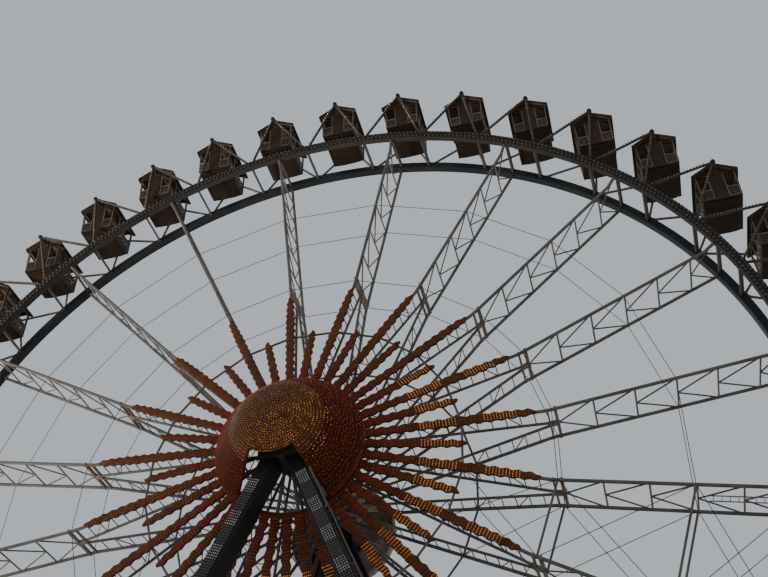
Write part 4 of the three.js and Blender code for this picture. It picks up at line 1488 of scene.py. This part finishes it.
def cabin_pins(stock):
    """The two pins that the cabin hangs on, with their plates and end knobs."""
    for start, way in ((-1.69, 1), (1.93, -1)):
        wall = CABIN_Y - way * WALL_HALF_DEPTH
        end = wall + way * 0.06
        pin = ((0.0, start), (0.05, start), (0.062, start + way * 0.012), (0.062, end), (0.0, end))
        stock.turned(pin, 12, "bolt_steel")
        cap = ((0.0, -0.005), (0.08, 0.0), (0.08, 0.03), (0.0, 0.035))
        stock.turned([(radius, start + way * y) for radius, y in cap], 12, "knob_black")
        near, far = sorted((wall - way * 0.03, wall))
        stock.box((-0.16, near, -0.16), (0.16, far, 0.16), "rust_steel")


def cabin_mesh():
    """One whole cabin about its pivot, with its sharp edges rounded off."""
    stock = Stock()
    for face in (-1, 1):
        end_wall(stock, face)
        side_wall(stock, face)
    for part in (cabin_floor, cabin_roof, cabin_seats, cabin_pins):
        part(stock)
    mesh = stock.mesh()
    work = bmesh.new()
    work.from_mesh(mesh)
    edges = [edge for edge in work.edges if edge.is_manifold and edge.calc_face_angle() > radians(50)]
    bmesh.ops.bevel(work, geom=edges, offset=0.006, segments=1, affect="EDGES", clamp_overlap=True)
    work.to_mesh(mesh)
    work.free()
    return mesh


# The stand
one_piece("base_steelwork", base_meshes(), "stand", ["base_frame"])
for leg, side_x, side_y in (
    ("leg_front_left", -1, -1),
    ("leg_front_right", 1, -1),
    ("leg_rear_left", -1, 1),
    ("leg_rear_right", 1, 1),
):
    one_piece(leg + "_box", leg_meshes(side_x, side_y), "stand", [leg])
head_block = head_meshes(-1) + [dome_stays()]
one_piece("head_front_block", head_block, "stand", ["head_front"])
one_piece("head_rear_block", head_meshes(1), "stand", ["head_rear"])
one_piece("leg_lamps_left", leg_lamps(-1), "stand")
one_piece("leg_lamps_right", leg_lamps(1), "stand")
one_piece("leg_ladder", leg_ladder(), "stand")
one_piece("sun_dome_skin", sun_dome_skin(), "stand", ["sun_dome"])
one_piece("sun_dome_bulbs", dome_lamps(), "stand", sharp=80)
one_piece("rear_cover_skin", cover_skin(), "stand", ["rear_cover"])

# The wheel
one_piece("hub_drums", hub_meshes(), "wheel", ["hub_axle"])
front_rim = [ring_mesh(*FRONT_RING, FRONT_RING_HALF_DEPTH, "ring_brown_grey")]
one_piece("front_rim", front_rim, "wheel", ["front_ring"])
one_piece("front_rim_lamps", lamp_strip(), "wheel")
rear_rim = [ring_mesh(*REAR_RING, REAR_RING_HALF_DEPTH, "ring_blue_grey"), cross_bars()]
one_piece("rear_rim", rear_rim, "wheel", ["rear_ring"])
front_frames = a_frame(FRONT_RING, FRONT_PIVOT_Y, True)
one_piece("front_a_frames", front_frames, "wheel", ["front_zigzag"])
rear_frames = a_frame(REAR_RING, REAR_PIVOT_Y, False)
one_piece("rear_a_frames", rear_frames, "wheel", ["rear_zigzag"])
for group in range(SPOKE_GROUPS):
    node = f"spokes_{group + 1}"
    one_piece(f"spoke_lattice_{group + 1}", spoke_group(group), "wheel", [node])
one_piece("spoke_ties", tie_meshes(), "wheel")
one_piece("spoke_ladder", spoke_ladder(), "wheel")
long_panels, long_lamps = flame_meshes(LONG_TIP, 0.0)
short_panels, short_lamps = flame_meshes(SHORT_TIP, 0.5)
rays = [long_panels, short_panels, flame_ring()]
one_piece("flame_rays", rays, "wheel", ["sun_rays"], sharp=50)
one_piece("long_ray_bulbs", long_lamps, "wheel", sharp=80)
one_piece("short_ray_bulbs", short_lamps, "wheel", sharp=80)

# The cabins, one mesh for all
master_cabin = cabin_mesh()
for i in range(CABINS):
    name = f"cabin_{i + 1:02d}"
    pivot = Vector(JOINTS[name + "_pivot"]["pos_m"])
    house = f"cabin_house_{i + 1:02d}"
    one_piece(house, [master_cabin], name + "_body", [name], pivot, 30)


# Floor, light and camera
def floor():
    material, plan = material_plan("pale_floor")
    plan.shader(plan.blend(plan.noise(0.6), (0.5, 0.5, 0.49), (0.56, 0.56, 0.55)), 0.8)
    mesh = bpy.data.meshes.new("floor")
    reach = 70.0
    mesh.from_pydata([(x, y, -0.004) for x, y in oblong(-reach, -reach, reach, reach)], [], [(0, 1, 2, 3)])
    mesh.materials.append(material)
    added("floor", mesh)


MIDDLE = (0, 0, 0)
LEFT_PANEL = {"size": 7.0, "spread": radians(60)}


def add_light(name, kind, place, aim, power, colour, settings):
    """A light at a place, turned along aim: soft suns, and a large square one outside the picture."""
    light = bpy.data.lights.new(name, kind)
    light.energy = power
    light.color = colour
    for setting, value in settings.items():
        setattr(light, setting, value)
    holder = added(name, light)
    turn = Vector(aim).to_track_quat("-Z", "Y").to_matrix().to_4x4()
    holder.matrix_world = Matrix.Translation(place) @ turn
    holder.visible_camera = False


def sky():
    world = bpy.data.worlds.new("studio")
    world.use_nodes = True
    world.node_tree.nodes.clear()
    plan = Plan(world.node_tree)
    light = plan.node("ShaderNodeBackground", {"Color": (0.8, 0.87, 0.92, 1.0), "Strength": 0.62})
    plan.node("ShaderNodeOutputWorld", {"Surface": light})
    bpy.context.scene.world = world


def camera():
    data = bpy.data.cameras.new("camera")
    data.lens = CAMERA_LENS
    data.clip_end = 500.0
    turn = Matrix.Rotation(CAMERA_YAW, 4, "Z") @ Matrix.Rotation(CAMERA_PITCH, 4, "X")
    turn = turn @ Matrix.Rotation(CAMERA_ROLL, 4, "Y") @ Matrix.Rotation(pi / 2, 4, "X")
    holder = added("camera", data)
    holder.matrix_world = Matrix.Translation(HUB + Vector(CAMERA_FROM_HUB) * SCALE) @ turn
    bpy.context.scene.camera = holder


floor()
sky()
for light in (
    ("key", "SUN", MIDDLE, (0.8, -0.1, -0.6), 2.2, (1.0, 0.96, 0.9), {"angle": radians(12)}),
    ("fill", "SUN", MIDDLE, (-0.25, 0.9, 0.2), 0.35, (0.9, 0.95, 1.0), {"angle": radians(60)}),
    ("left_bounce", "AREA", (-24.0, -9.0, 4.0), (13.5, 9.0, 14.5), 1200.0, (1.0, 0.97, 0.95), LEFT_PANEL),
):
    add_light(*light)
camera()
